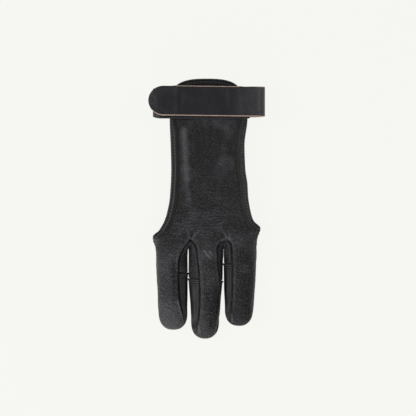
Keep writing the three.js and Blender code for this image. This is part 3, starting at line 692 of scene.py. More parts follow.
INDEX_STALL = Stall(
    INDEX_TABLE, {Side.RING: INDEX_SPLIT, Side.INDEX: flare(Side.INDEX)}, {Side.RING: INDEX_CROTCH}
)
STALLS = (RING_STALL, MIDDLE_STALL, INDEX_STALL)
STALL_LENGTHS = np.array([stall.length for stall in STALLS])
MOUTH_ALONG = {Side.RING: 0.1, Side.INDEX: 0.08}
# How far the soft leather goes on behind a tip leather, and where it sinks in past the cross seam.
SEAM_LAP = 1.4
LAP_SINKS = Span(-0.7, 0.2)
# How much closer a stall's columns are at its sides.
SIDE_CROWDING = 0.8
# Round the tips a seam pulls less by this share, from and to these shares of the stall's length.
TIP_PULL_LOST = 0.88
TIP_PULL_FADES = Span(0.74, 0.91)


def lapped(distance: Array) -> Array:
    """Height of a panel that goes in behind a tip leather, at distances past the cross seam."""
    return -(SIZE.tip_wall + SIZE.seam_gap) * LAP_SINKS.share(distance)


# Places from -1 to 1 across a stall, even and then closer together at its sides.
EVEN = np.linspace(-1, 1, LANE_COLUMNS + 1)[None, :]
ACROSS = mix(EVEN, np.sin(EVEN * np.pi / 2), SIDE_CROWDING)


def stem_point(lane: int, across: Array, up: Array) -> Array:
    """Points of the stem above one stall.

    Args:
        lane: Which stall, from 0.
        across: From -1 to 1 across that stall.
        up: From 0 at the knuckles to 1 at the top end.

    Returns:
        The points.
    """
    whole = (across + 1 + 2 * lane) / 3 - 1
    knuckle = STALLS[lane].top_point(across, np.zeros((1, 1)))
    left_x, left_y = stem_edge(Side.RING, up)
    right_x, right_y = stem_edge(Side.INDEX, up)
    narrowed = ease((up - NARROW_START) / (1 - NARROW_START))
    left_x = left_x + TOP_NARROWING[Side.RING] * narrowed
    right_x = right_x - TOP_NARROWING[Side.INDEX] * narrowed
    first, last = flare(Side.RING), flare(Side.INDEX)
    t = mix((knuckle[..., 0] - first.x) / (last.x - first.x), (whole + 1) / 2, ease(up / EVEN_BY))
    edge_y = mix(left_y, right_y, t)
    bow = (SIZE.stem_length - SIZE.edge_bead - edge_y) * arch(2 * t - 1, TOP_END_ROUNDNESS)
    at_top = np.maximum(0, (up - TOP_END_START) / (1 - TOP_END_START)) ** TOP_END_POWER
    y = edge_y + (knuckle[..., 1] - mix(first.y, last.y, t)) * (1 - up) + bow * at_top
    rest = SIZE.stem_top_height - SIZE.stem_sag * np.sin(np.pi * np.clip(up / SAG_END, 0, 1)) ** 2
    crown = SIZE.stem_crown * (1 - whole**2) * ease((TOP_END_START - up) / CROWN_FADE)
    even = SIZE.stall_height * mix(FLARE_RISE, CROWN(0), arch(whole, CROWN_ROUNDNESS))
    low = mix(knuckle[..., 2], even, ease(up / VALLEY_END))
    return stack(mix(left_x, right_x, t), y, mix(low, rest + crown, ease(up / RISE_BY)))


def wall_point(low: Array, high: Array, outward: Array, up: Array) -> Array:
    """Points of a curve up a stall's side.

    Args:
        low: Where it starts, on the palm seam.
        high: Where it ends, under the back panel's edge.
        outward: The level way out of the stall.
        up: From 0 at low to 1 at high.

    Returns:
        The points.
    """
    rise = (high - low)[..., 2:]
    first = low + rise * (0, 0, WALL_FOOT)
    second = mix(high, low, SHOULDER_IN) + outward * SHOULDER_OUT * rise
    second[..., 2:] = high[..., 2:] - SHOULDER_DROP * rise
    u = up[..., None]
    return (1 - u) ** 3 * low + 3 * u * (1 - u) ** 2 * first + 3 * u * u * (1 - u) * second + u**3 * high


def frame_move() -> Array:
    """The move into the frame, from its box: the last fingertip and the strap's fold."""
    low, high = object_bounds()
    fold = SIZE.strap_x + SIZE.strap_span / 2
    return np.array([high.x / MM - fold, low.y / MM + SIZE.middle_length, 0.0])


MOVE = frame_move()
WANDER = Noise(7)


def placed(points: Array) -> Array:
    """Points of the glove's own millimetres in the frame, in metres."""
    return (np.asarray(points) + MOVE) * MM


def wandering(points: Array, spacing: float, shift: float = 0.0) -> Array:
    """Noise over the leather, in cells of a spacing."""
    return WANDER(points[:, 0] / spacing + shift, points[:, 1] / spacing)


@dataclass(frozen=True)
class Crease:
    """A soft ridge along a line on the leather, or a fold where its height is negative."""

    start: tuple[float, float]
    end: tuple[float, float]
    width: float
    height: float
    end_share: float = 0.25

    def __call__(self, points: Array) -> Array:
        """Height at each point, fading from the start to a share of it at the end.

        Args:
            points: Places on the leather.

        Returns:
            Millimetres.
        """
        first = np.array(self.start)
        line = np.array(self.end) - first
        t = np.clip((points[:, :2] - first) @ line / (line @ line), 0, 1)
        distance = np.linalg.norm(points[:, :2] - first - t[:, None] * line, axis=1)
        return self.height * mix(1, self.end_share, t) * bell(distance, self.width)


@dataclass(frozen=True)
class Ripples:
    """A patch of fine parallel folds, which wander by a share of their spacing."""

    WANDER_SHARE = 0.6
    WANDER_CELL = 4

    centre: tuple[float, float]
    reach: tuple[float, float]
    spacing: float
    height: float
    turn: float = 0.0

    def __call__(self, points: Array) -> Array:
        """Height at each point.

        Args:
            points: Places on the leather.

        Returns:
            Millimetres.
        """
        angle = math.radians(self.turn)
        x, y = (points[:, :2] - np.array(self.centre)).T
        u = x * math.cos(angle) + y * math.sin(angle)
        v = y * math.cos(angle) - x * math.sin(angle)
        wander = self.WANDER_SHARE * self.spacing * wandering(points, self.WANDER_CELL)
        fade = bell(u, self.reach[0]) * bell(v, self.reach[1])
        return self.height * fade * np.sin(2 * np.pi * (v + wander) / self.spacing)


@dataclass(frozen=True)
class Slump:
    """Broad unevenness of leather that has been worn."""

    # Cells that set it off from the other noise.
    SHIFT = 9

    spacing: float
    height: float

    def __call__(self, points: Array) -> Array:
        """Height at each point."""
        return self.height * wandering(points, self.spacing, self.SHIFT)


@dataclass(frozen=True)
class Roll:
    """How a sewn edge is pulled down into its seam, with the leather puffed up beside it."""

    PUCKER = 0.35
    PUCKER_SPACING = 2.6
    PUFF_WIDTH = 0.6

    depth: float
    width: float
    puff: float
    puff_at: float

    def __call__(self, distance: Array, points: Array) -> Array:
        """Height at each point.

        Args:
            distance: How far each point is from the edge.
            points: The points, whose places set the puckers.

        Returns:
            Millimetres.
        """
        pucker = 1 + self.PUCKER * wandering(points, self.PUCKER_SPACING)
        down = self.depth * bell(distance, self.width)
        up = self.puff * bell(distance - self.puff_at, self.PUFF_WIDTH * self.puff_at)
        return pucker * (up - down)


def tip_fade(points: Array) -> Array:
    """How much of a seam's pull there is at each point: all of it but for the tips."""
    lane = np.where(points[:, 0] < RING_CROTCH.palm_x, 0, 1 + (points[:, 0] > INDEX_CROTCH.palm_x))
    return 1 - TIP_PULL_LOST * TIP_PULL_FADES.share(-points[:, 1] / STALL_LENGTHS[lane])


PANEL_ROLL = Roll(depth=1.1, width=0.85, puff=0.2, puff_at=2.2)
GUSSET_ROLL = Roll(depth=0.6, width=0.8, puff=0.2, puff_at=1.7)
SOLE_ROLL = Roll(depth=0.3, width=0.7, puff=0.1, puff_at=1.6)

# Puckers beside the two crotches, creases of the knuckles and long folds of the hand.
BACK_CREASES = (
    ((-12.2, 1.2), (-6.0, 8.0), 1.0, 0.7), ((-13.2, 1.4), (-14.8, 7.5), 0.9, 0.6),
    ((-11.2, 0.4), (-3.5, 2.6), 0.8, 0.3), ((-12.6, 1.4), (-10.0, 9.0), 0.8, -0.6),
    ((-14.2, -0.6), (-21.0, 1.0), 0.9, 0.25), ((18.4, 1.4), (21.2, 6.0), 0.9, 0.65),
    ((17.4, 1.4), (15.4, 6.5), 0.9, 0.65), ((17.9, 1.6), (18.4, 7.5), 0.7, -0.6),
    ((16.6, 0.0), (10.5, 1.5), 0.9, 0.35), ((16.0, -1.4), (11.0, -1.6), 0.6, -0.25),
    ((19.4, 0.2), (25.5, 2.2), 0.9, 0.3), ((-1.2, -9.0), (2.6, -12.6), 0.75, 1.0),
    ((0.4, -11.6), (4.2, -15.4), 0.75, 1.1), ((3.6, -9.4), (5.4, -13.0), 0.75, 0.8),
    ((-3.6, -10.4), (-1.4, -14.6), 0.6, 0.2), ((-34.0, -9.0), (-26.0, -14.0), 1.0, 0.1),
    ((25.0, -2.0), (32.5, -2.6), 0.7, 0.2), ((26.0, -6.6), (35.0, -6.0), 0.8, 0.16),
    ((-18.0, 92.0), (-14.5, 34.0), 2.6, 0.55, 0.5), ((17.5, 92.0), (14.0, 62.0), 3.4, 0.25, 0.3),
    ((-2.0, 80.0), (2.0, 30.0), 6.0, -0.3, 0.6),
)
# Wrinkles of the fingers, the knuckles and the hand.
BACK_RIPPLES = (
    ((-29.8, -31.0), (3.4, 2.8), 1.7, 0.26, 6.0), ((-30.0, -18.0), (6.0, 5.0), 2.0, 0.14, 25.0),
    ((-30.0, -60.0), (8.0, 9.0), 2.3, 0.2, -35.0), ((2.0, -42.0), (2.8, 20.0), 1.9, 0.2, 0.0),
    ((0.0, -4.0), (10.0, 4.0), 1.9, 0.14, 0.0), ((29.0, -4.0), (5.0, 3.5), 1.7, 0.14, 0.0),
    ((31.0, -22.0), (5.0, 7.0), 2.1, 0.09, 4.0), ((29.0, -54.0), (5.0, 12.0), 2.0, 0.12, 88.0),
    ((6.0, 20.0), (17.0, 12.0), 2.4, 0.14, 3.0), ((-14.0, 14.0), (8.0, 8.0), 2.4, 0.1, 20.0),
    ((16.0, 76.0), (4.5, 9.0), 2.6, 0.12, -4.0), ((-17.0, 72.0), (5.0, 20.0), 2.3, 0.12, -25.0),
)
BACK_RELIEF = (
    *(Crease(*row) for row in BACK_CREASES),
    *(Ripples(*row) for row in BACK_RIPPLES),
    Slump(11.0, 0.22),
    Slump(4.3, 0.09),
)
# Bands and patches of the back panel painted towards the polish colour, as shares of the full polish
# colour: painted highlights along the tip seams, on the tips and down the stem's ring side. Where
# negative, bands are painted darker.
BACK_PAINTED_SHEEN = tuple(Crease(*row) for row in (
    ((-31.5, -60.0), (-31.0, -70.0), 8.0, 0.18, 1.0), ((-23.4, -52.0), (-18.2, -68.5), 0.9, 0.8, 1.0),
    ((-27.0, -20.0), (-24.6, -46.0), 2.6, -0.33, 1.0), ((-7.6, -66.0), (-5.4, -77.5), 0.8, 0.65, 1.0),
    ((-2.0, -72.0), (0.5, -78.0), 3.2, 0.1, 1.0), ((4.0, -46.0), (5.5, -70.0), 4.2, -0.27, 1.0),
    ((20.6, -61.0), (22.4, -68.5), 0.8, 0.6, 1.0), ((-20.8, 88.0), (-18.0, 52.0), 3.0, 0.15, 0.6),
))
TIP_RELIEF = (Slump(6.0, 0.1),)
FOURCHETTE_RELIEF = (Slump(5.0, 0.15),)
# Soft bends across the strap where it has been folded round the wrist, and one at its corner.
STRAP_CREASES = (
    ((-21.0, 128.0), (-21.6, 106.0), 1.3, -0.16, 0.9), ((-24.5, 128.0), (-25.0, 106.0), 1.5, 0.14, 0.9),
    ((14.5, 129.0), (13.4, 112.0), 1.2, 0.12, 0.4), ((18.0, 129.0), (19.6, 108.0), 1.4, 0.12, 0.5),
    ((22.4, 129.0), (24.0, 110.0), 1.2, -0.16, 0.6), ((28.0, 129.0), (31.0, 104.0), 2.4, 0.2, 0.8),
    ((47.5, 106.6), (37.5, 104.9), 0.8, -0.35, 0.5), ((46.5, 109.0), (39.0, 107.4), 0.9, 0.22, 0.4),
    ((-44.0, 124.0), (-40.0, 111.0), 2.2, 0.14, 0.8),
)
STRAP_RELIEF = (*(Crease(*row) for row in STRAP_CREASES), Slump(9.0, 0.14), Slump(3.7, 0.05))


@dataclass
class Shell:
    """Grids of points that are joined into one sheet and thickened to a closed leather wall."""

    RIM_STEPS = 3
    # How round the cut edge is, as a share of the wall.
    RIM_BULGE = 0.18
    # Rubbing and painted highlight for each millimetre that a point stands proud: raised leather is
    # painted lighter.
    WEAR_AND_SHEEN_GAIN = 1.1
    # Points whose distances are worked out at once, and a distance past all the leather.
    BATCH = 2000
    FAR = 1e3

    name: str
    wall: float
    grids: list[Array] = field(default_factory=list)
    inwards: list[Array] = field(default_factory=list)
    heights: list[Array] = field(default_factory=list)
    indices: list[Array] = field(default_factory=list)

    def add(self, points: Array, inwards: Array | None = None, heights: Array | None = None) -> None:
        """Adds a grid, whose outer side is up where rows go towards -Y and columns towards +X.

        Args:
            points: Rows and columns of points.
            inwards: The way that the wall goes at some of them, nan at the others.
            heights: How far the leather is raised at each.
        """
        self.grids.append(points)
        self.inwards.append(unset(points) if inwards is None else inwards)
        self.heights.append(np.zeros(points.shape[:2]) if heights is None else heights)

    def join(self) -> None:
        """Joins the grids where their points meet."""
        points = np.concatenate([grid.reshape(-1, 3) for grid in self.grids])
        given = np.concatenate([grid.reshape(-1, 3) for grid in self.inwards])
        heights = np.concatenate([grid.reshape(-1) for grid in self.heights])
        _, first, inverse = np.unique(np.round(points, 3), axis=0, return_index=True, return_inverse=True)
        inverse = inverse.reshape(-1)
        self.points = points[first]
        self.fixed = np.full(self.points.shape, np.nan)
        known = ~np.isnan(given[:, 0])
        self.fixed[inverse[known]] = given[known]
        self.wear_and_sheen = np.zeros(len(self.points))
        self.creased = np.zeros(len(self.points))
        start, quads = 0, []
        for grid in self.grids:
            rows, columns = grid.shape[:2]
            index = inverse[start : start + rows * columns].reshape(rows, columns)
            start += rows * columns
            self.indices.append(index)
            corners = (index[:-1, :-1], index[1:, :-1], index[1:, 1:], index[:-1, 1:])
            quads.append(np.stack(corners, axis=-1).reshape(-1, 4))
        self.quads = np.concatenate(quads)
        self.find_normals()
        raised = np.zeros(len(self.points))
        raised[inverse] = heights
        self.raise_by(raised)

    def find_normals(self) -> None:
        """Works out the unit normals on the outer side."""
        a, b, c, d = (self.points[self.quads[:, i]] for i in range(4))
        faces = np.cross(c - a, d - b)
        sums = np.zeros_like(self.points)
        for i in range(4):
            np.add.at(sums, self.quads[:, i], faces)
        known = ~np.isnan(self.fixed[:, 0])
        sums[known] = -self.fixed[known]
        self.normals = unit(sums)

    def raise_by(self, height: Array) -> None:
        """Raises points along their normals, not below the table, and paints what stands proud lighter, as
        rubbing and as a painted highlight.

        Args:
            height: Millimetres for each point.
        """
        self.points = self.points + self.normals * height[:, None]
        self.points[:, 2] = np.maximum(self.points[:, 2], 0)
        self.wear_and_sheen = np.clip(self.wear_and_sheen + self.WEAR_AND_SHEEN_GAIN * np.maximum(height, 0), 0, 1)

    def relieve(self, relief: Sequence[Callable[[Array], Array]], share: Array | float = 1.0) -> None:
        """Adds a share of some creases and wrinkles."""
        self.raise_by(share * sum(part(self.points) for part in relief))

    def border(self) -> tuple[Array, Array]:
        """The sheet's open edges, and the way out across them.

        Returns:
            Edges as pairs of point numbers, and a unit vector for each point, zero inside.
        """
        edges = np.concatenate([self.quads[:, [i, (i + 1) % 4]] for i in range(4)])
        edges = edges[edges[:, 0] != edges[:, 1]]
        count = len(self.points)
        open_edges = edges[~np.isin(edges @ (count, 1), edges @ (1, count))]
        along = self.points[open_edges[:, 1]] - self.points[open_edges[:, 0]]
        outward = np.zeros_like(self.points)
        for i in range(2):
            np.add.at(outward, open_edges[:, i], unit(np.cross(along, self.normals[open_edges[:, i]])))
        return open_edges, unit(outward)

    def roll_edges(self, roll: Roll, sewn: Callable[[Array], Array]) -> None:
        """Pulls the sewn edges down, less round the tips.

        Args:
            roll: The form of the pull.
            sewn: Says for each border point whether it is sewn.
        """
        ring = np.unique(self.border()[0])
        seam = self.points[ring][sewn(self.points[ring])]
        distance = np.full(len(self.points), self.FAR)
        for start in range(0, len(self.points), self.BATCH):
            part = self.points[start : start + self.BATCH, None, :] - seam[None]
            distance[start : start + self.BATCH] = np.sqrt((part**2).sum(axis=-1)).min(axis=1)
        self.raise_by(roll(distance, self.points) * tip_fade(self.points))

    def build(
        self,
        materials: Sequence[bpy.types.Material],
        slant: Callable[[Array, Array], Array] | None = None,
        is_raw: Callable[[Array], Array] | None = None,
    ) -> bpy.types.Object:
        """Makes the closed wall as a Blender object.

        Args:
            materials: Materials for the grain side, the flesh side and the raw edge.
            slant: How far the cut edge slants out towards the flesh side at a point, given the point
                and the way out.
            is_raw: Says for each point whether its cut edge shows raw. Elsewhere it is dyed.

        Returns:
            The piece.
        """
        edges, outward = self.border()
        ring = np.unique(edges)
        slot = np.full(len(self.points), -1)
        slot[ring] = np.arange(len(ring))
        top, under = self.points, self.points - self.normals * self.wall
        if slant is not None:
            under[ring] += outward[ring] * slant(top[ring], outward[ring])[:, None]
        count = len(top)
        layers, rows = [top, under], [ring]
        for step in range(1, self.RIM_STEPS + 1):
            share = step / (self.RIM_STEPS + 1)
            bulge = outward[ring] * self.RIM_BULGE * self.wall * math.sin(math.pi * share)
            rows.append(np.arange(len(ring)) + 2 * count + (step - 1) * len(ring))
            layers.append(mix(top[ring], under[ring], share) + bulge)
        rows.append(ring + count)
        raw = np.zeros(count, bool) if is_raw is None else is_raw(top)
        edge_kind = np.where(raw[edges[:, 0]], Surface.RAW_EDGE.value, Surface.FLESH.value)
        faces = [self.quads, self.quads[:, ::-1] + count]
        kinds = [np.full(len(self.quads), kind.value) for kind in (Surface.GRAIN, Surface.FLESH)]
        near, far = slot[edges[:, 1]], slot[edges[:, 0]]
        for upper, lower in zip(rows, rows[1:]):
            faces.append(np.stack([upper[near], upper[far], lower[far], lower[near]], axis=-1))
            kinds.append(edge_kind)
        points = np.concatenate(layers)
        rest = np.zeros(len(points) - count)
        marks = {"wear_and_sheen": np.append(self.wear_and_sheen, rest), "creased": np.append(self.creased, rest)}
        return make_mesh(self.name, points, np.concatenate(faces), np.concatenate(kinds), materials, marks)


def make_mesh(
    name: str,
    points: Array,
    faces: Array | list[list[int]],
    kinds: Array,
    materials: Sequence[bpy.types.Material],
    marks: dict[str, Array] | None = None,
) -> bpy.types.Object:
    """Makes a smooth Blender mesh from points in the glove's millimetres.

    Args:
        name: The piece's name.
        points: The points.
        faces: The faces' point numbers. A corner that repeats its neighbour is left out.
        kinds: Each face's material slot.
        materials: The materials in slot order.
        marks: Values for each point that the materials read, by name.

    Returns:
        The piece, in the frame.
    """
    kept, slots = [], []
    for face, kind in zip(faces.tolist() if isinstance(faces, np.ndarray) else faces, kinds):
        corners = [v for v, w in zip(face, face[1:] + face[:1]) if v != w]
        if len(corners) > 2:
            kept.append(corners)
            slots.append(int(kind))
    mesh = bpy.data.meshes.new(name)
    mesh.from_pydata(placed(points).tolist(), [], kept)
    for material in materials:
        mesh.materials.append(material)
    mesh.polygons.foreach_set("material_index", slots)
    mesh.polygons.foreach_set("use_smooth", [True] * len(kept))
    for mark, values in (marks or {}).items():
        attribute = mesh.attributes.new(mark, "FLOAT", "POINT")
        attribute.data.foreach_set("value", values.astype(np.float32))
    mesh.update()
    piece = bpy.data.objects.new(name, mesh)
    bpy.context.scene.collection.objects.link(piece)
    return piece


def srgb(code: str) -> Colour:
    """An sRGB hex colour in linear light: red, green, blue and 1."""
    values = [int(code[i : i + 2], 16) / 255 for i in (0, 2, 4)]
    return (*(v / 12.92 if v <= 0.04045 else ((v + 0.055) / 1.055) ** 2.4 for v in values), 1.0)


def add_node(tree: Tree, kind: str, inputs: dict | None = None, **settings: object) -> bpy.types.Node:
    """Adds a shader node.

    Args:
        tree: The material's nodes.
        kind: The node's type, without its common start.
        inputs: A value or another node's output for each input, by name or number.
        settings: Values of its properties.

    Returns:
        The node.
    """
    node = tree.nodes.new("ShaderNode" + kind)
    for name, value in settings.items():
        setattr(node, name, value)
    for name, value in (inputs or {}).items():
        if isinstance(value, Socket):
            tree.links.new(value, node.inputs[name])
        else:
            node.inputs[name].default_value = value
    return node


def calc(tree: Tree, operation: str, *values: float | Socket, clamp: bool = False) -> Socket:
    """Adds a maths node on some values and gives its output."""
    return add_node(tree, "Math", dict(enumerate(values)), operation=operation, use_clamp=clamp).outputs[0]


def blend(tree: Tree, factor: Socket, first: Socket | Colour, second: Socket | Colour) -> Socket:
    """Adds a node that mixes two colours and gives its output."""
    return add_node(tree, "Mix", {"Factor": factor, 6: first, 7: second}, data_type="RGBA").outputs[2]


def surface(tree: Tree, inputs: dict) -> None:
    """Ends a material with a surface shader that has these inputs."""
    shader = add_node(tree, "BsdfPrincipled", inputs)
    add_node(tree, "OutputMaterial", {"Surface": shader.outputs[0]})


def new_material(name: str) -> tuple[bpy.types.Material, Tree]:
    """Makes an empty material.

    Args:
        name: Its name.

    Returns:
        The material and its node tree.
    """
    material = bpy.data.materials.new(name)
    material.use_nodes = True
    material.node_tree.nodes.clear()
    return material, material.node_tree


@dataclass(frozen=True)
class LeatherFinish:
    """A leather finish from real sizes in millimetres.

    The grain is a pebble of one size with finer pores. Wrinkles run across the piece where it is
    creased. The colour goes from dark to light in soft clouds, and to a polish colour where it is worn
    and where a highlight is painted on it.
    """

    # The pores' size as a share of the pebble's, and the clouds' in millimetres.
    PORE_SHARE = 0.7
    CLOUD = 9.0
    # Share of the grain's depth that flat leather has, and how much its tops are polished.
    FLAT_GRAIN = 0.3
    TOPS_POLISHED = 0.3
    # How far the roughness goes either way in the clouds.
    ROUGHNESS_SWING = 0.07

    name: str
    dark: str
    light: str
    polished_and_sheen: str
    grain: float
    grain_depth: float
    roughness: float
    wrinkle: float = 1.7
    wrinkle_depth: float = 0.0
    sheen: float = 0.0
    specular: float = 0.5

    def make(self) -> bpy.types.Material:
        """Makes the material.

        Returns:
            A material that reads Object coordinates and the piece's crease, rub and painted sheen marks.
        """
        material, tree = new_material(self.name)
        place = add_node(tree, "TexCoord").outputs["Object"]
        across = add_node(tree, "Mapping", {"Vector": place, "Scale": (0.2, 1.0, 0.2)}).outputs[0]
        creased = add_node(tree, "Attribute", attribute_name="creased").outputs["Fac"]
        wear_and_sheen = add_node(tree, "Attribute", attribute_name="wear_and_sheen").outputs["Fac"]
        pebble = {"Vector": place, "Scale": 1 / (self.grain * MM), "Smoothness": 0.7, "Randomness": 0.9}
        pebbles = add_node(tree, "TexVoronoi", pebble, feature="SMOOTH_F1")
        pore_scale = 1 / (self.PORE_SHARE * self.grain * MM)
        pores = add_node(tree, "TexNoise", {"Vector": place, "Scale": pore_scale, "Detail": 2.0})
        wrinkle = {"Vector": across, "Scale": 1 / (self.wrinkle * MM), "Detail": 1.5, "Distortion": 0.4}
        wrinkles = add_node(tree, "TexNoise", wrinkle)
        noise = {"Vector": place, "Scale": 1 / (self.CLOUD * MM), "Detail": 3.0}
        clouds = add_node(tree, "TexNoise", noise).outputs[0]
        fold = calc(tree, "MULTIPLY", wrinkles.outputs[0], creased)
        grain = calc(tree, "MULTIPLY_ADD", pebbles.outputs["Distance"], -1.0, pores.outputs[0])
        share = calc(tree, "ADD", creased, self.FLAT_GRAIN)
        relief = calc(tree, "MULTIPLY", grain, calc(tree, "MULTIPLY", share, self.grain_depth))
        height = calc(tree, "MULTIPLY_ADD", fold, self.wrinkle_depth, relief)
        bump = add_node(tree, "Bump", {"Height": height, "Distance": MM, "Strength": 1.0})
        tops = add_node(tree, "MapRange", {"Value": grain, 1: 0.0, 2: 0.5, 3: 0.0, 4: self.TOPS_POLISHED})
        # The polish colour is mixed in on grain tops, where rubbed, and as painted highlights.
        rubbed_and_sheen = calc(tree, "MULTIPLY_ADD", tops.outputs[0], share, wear_and_sheen, clamp=True)
        low, high = self.roughness - self.ROUGHNESS_SWING, self.roughness + self.ROUGHNESS_SWING
        tone = blend(tree, clouds, srgb(self.dark), srgb(self.light))
        surface(tree, {
            "Base Color": blend(tree, rubbed_and_sheen, tone, srgb(self.polished_and_sheen)),
            "Roughness": add_node(tree, "MapRange", {"Value": clouds, 3: low, 4: high}).outputs[0],
            "Normal": bump.outputs[0],
            "Sheen Weight": self.sheen,
            "Specular IOR Level": self.specular,
        })
        return material


@dataclass(frozen=True)
class NylonFinish:
    """A nylon finish: a weave of threads a given size apart, in millimetres."""

    # Repeats of a wave texture in 2 pi units at scale 1.
    WAVE_REPEATS = 20

    name: str
    colour: str
    spacing: float
    depth: float
    roughness: float

    def make(self) -> bpy.types.Material:
        """Makes the material.

        Returns:
            A material whose weave reads Object coordinates.
        """
        material, tree = new_material(self.name)
        place = add_node(tree, "TexCoord").outputs["Object"]
        inputs = {"Vector": place, "Scale": 2 * math.pi / self.WAVE_REPEATS / (self.spacing * MM)}
        waves = [add_node(tree, "TexWave", inputs, bands_direction=axis) for axis in ("X", "Y")]
        weave = calc(tree, "MAXIMUM", *(wave.outputs["Fac"] for wave in waves))
        bump = add_node(tree, "Bump", {"Height": weave, "Distance": self.depth * MM, "Strength": 1.0})
        colour = srgb(self.colour)
        surface(tree, {"Base Color": colour, "Roughness": self.roughness, "Normal": bump.outputs[0]})
        return material


# In each leather finish the third colour is the polish colour, which also paints the highlights.
# Drum-dyed sheep leather: a fine soft pebble and a satin face, lighter where folds are rubbed and
# where highlights are painted on ridges and seams. The pebble of such leather is about 1 mm, and is
# drawn 1.5 mm wide so that it shows.
GARMENT = LeatherFinish(
    "garment_leather", "0A0A0B", "121214", "616165", 1.5, 0.5, 0.5, 1.6, 1.2, specular=0.36
)
# The same skin seen from its back: short dark nap with no gloss. It is kept near black also to paint
# the shade under the strap's tab, where this side of the strap's lower layer shows.
FLESH_SIDE = LeatherFinish("leather_flesh_side", "141211", "1D1A18", "1D1A18", 0.7, 0.12, 0.9, sheen=0.2)
# Smooth cowhide on the fingertips, firmer and with a tighter grain.
TIP = LeatherFinish("tip_cowhide", "0A0A0B", "121214", "4E4E52", 1.2, 0.25, 0.52)
# Thin lamb leather, cut in strips and folded round the edges.
BINDING = LeatherFinish("binding_lamb_leather", "0D0D0F", "161618", "48484D", 1.1, 0.2, 0.42)
# The strips' cut edge: dye that has soaked into brown fibres.
BINDING_EDGE = LeatherFinish("binding_raw_edge", "17130F", "40352C", "40352C", 0.9, 0.3, 0.85)
# Full-grain strap leather, plated smooth.
STRAP = LeatherFinish("strap_cowhide", "151518", "222225", "48484D", 1.7, 0.3, 0.48)
# The strap's cut edge, left undyed: tan fibres.
STRAP_EDGE = LeatherFinish("strap_raw_edge", "A89283", "D2B9A9", "D2B9A9", 0.6, 0.15, 0.85)
# Bonded nylon sewing thread, dyed black, with the gloss of its bonding. It is coloured grey, much
# lighter than black thread, to paint the glints that make the stitches show as light dots.
THREAD = NylonFinish("bonded_nylon_thread", "56565B", 0.35, 0.05, 0.35)
# Hook-and-loop tape, woven from black nylon and matt on its pile.
TAPE = NylonFinish("nylon_hook_and_loop_tape", "0B0B0C", 0.6, 0.15, 0.9)


class Workshop:
    """Holds the finished materials, and hands each finished piece to the frame."""

    def __init__(self) -> None:
        """Makes each material once."""
        self.flesh = FLESH_SIDE.make()
        self.garment = (GARMENT.make(), self.flesh, self.flesh)
        self.tip = (TIP.make(), self.flesh, self.flesh)
        self.binding = (BINDING.make(), BINDING_EDGE.make())
        self.strap = (STRAP.make(), self.flesh, STRAP_EDGE.make())
        self.thread = THREAD.make()
        self.tape = TAPE.make()

    def deliver(self, piece: bpy.types.Object, slot: str, *nodes: str) -> None:
        """Makes a piece ride on the glove and stand for its solids.

        Args:
            piece: The finished piece.
            slot: Not used.
            nodes: The solids that it replaces.
        """
        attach(piece, "root")
        if nodes:
            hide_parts(*nodes)
        LOG.info("%s: %d faces", piece.name, len(piece.data.polygons))


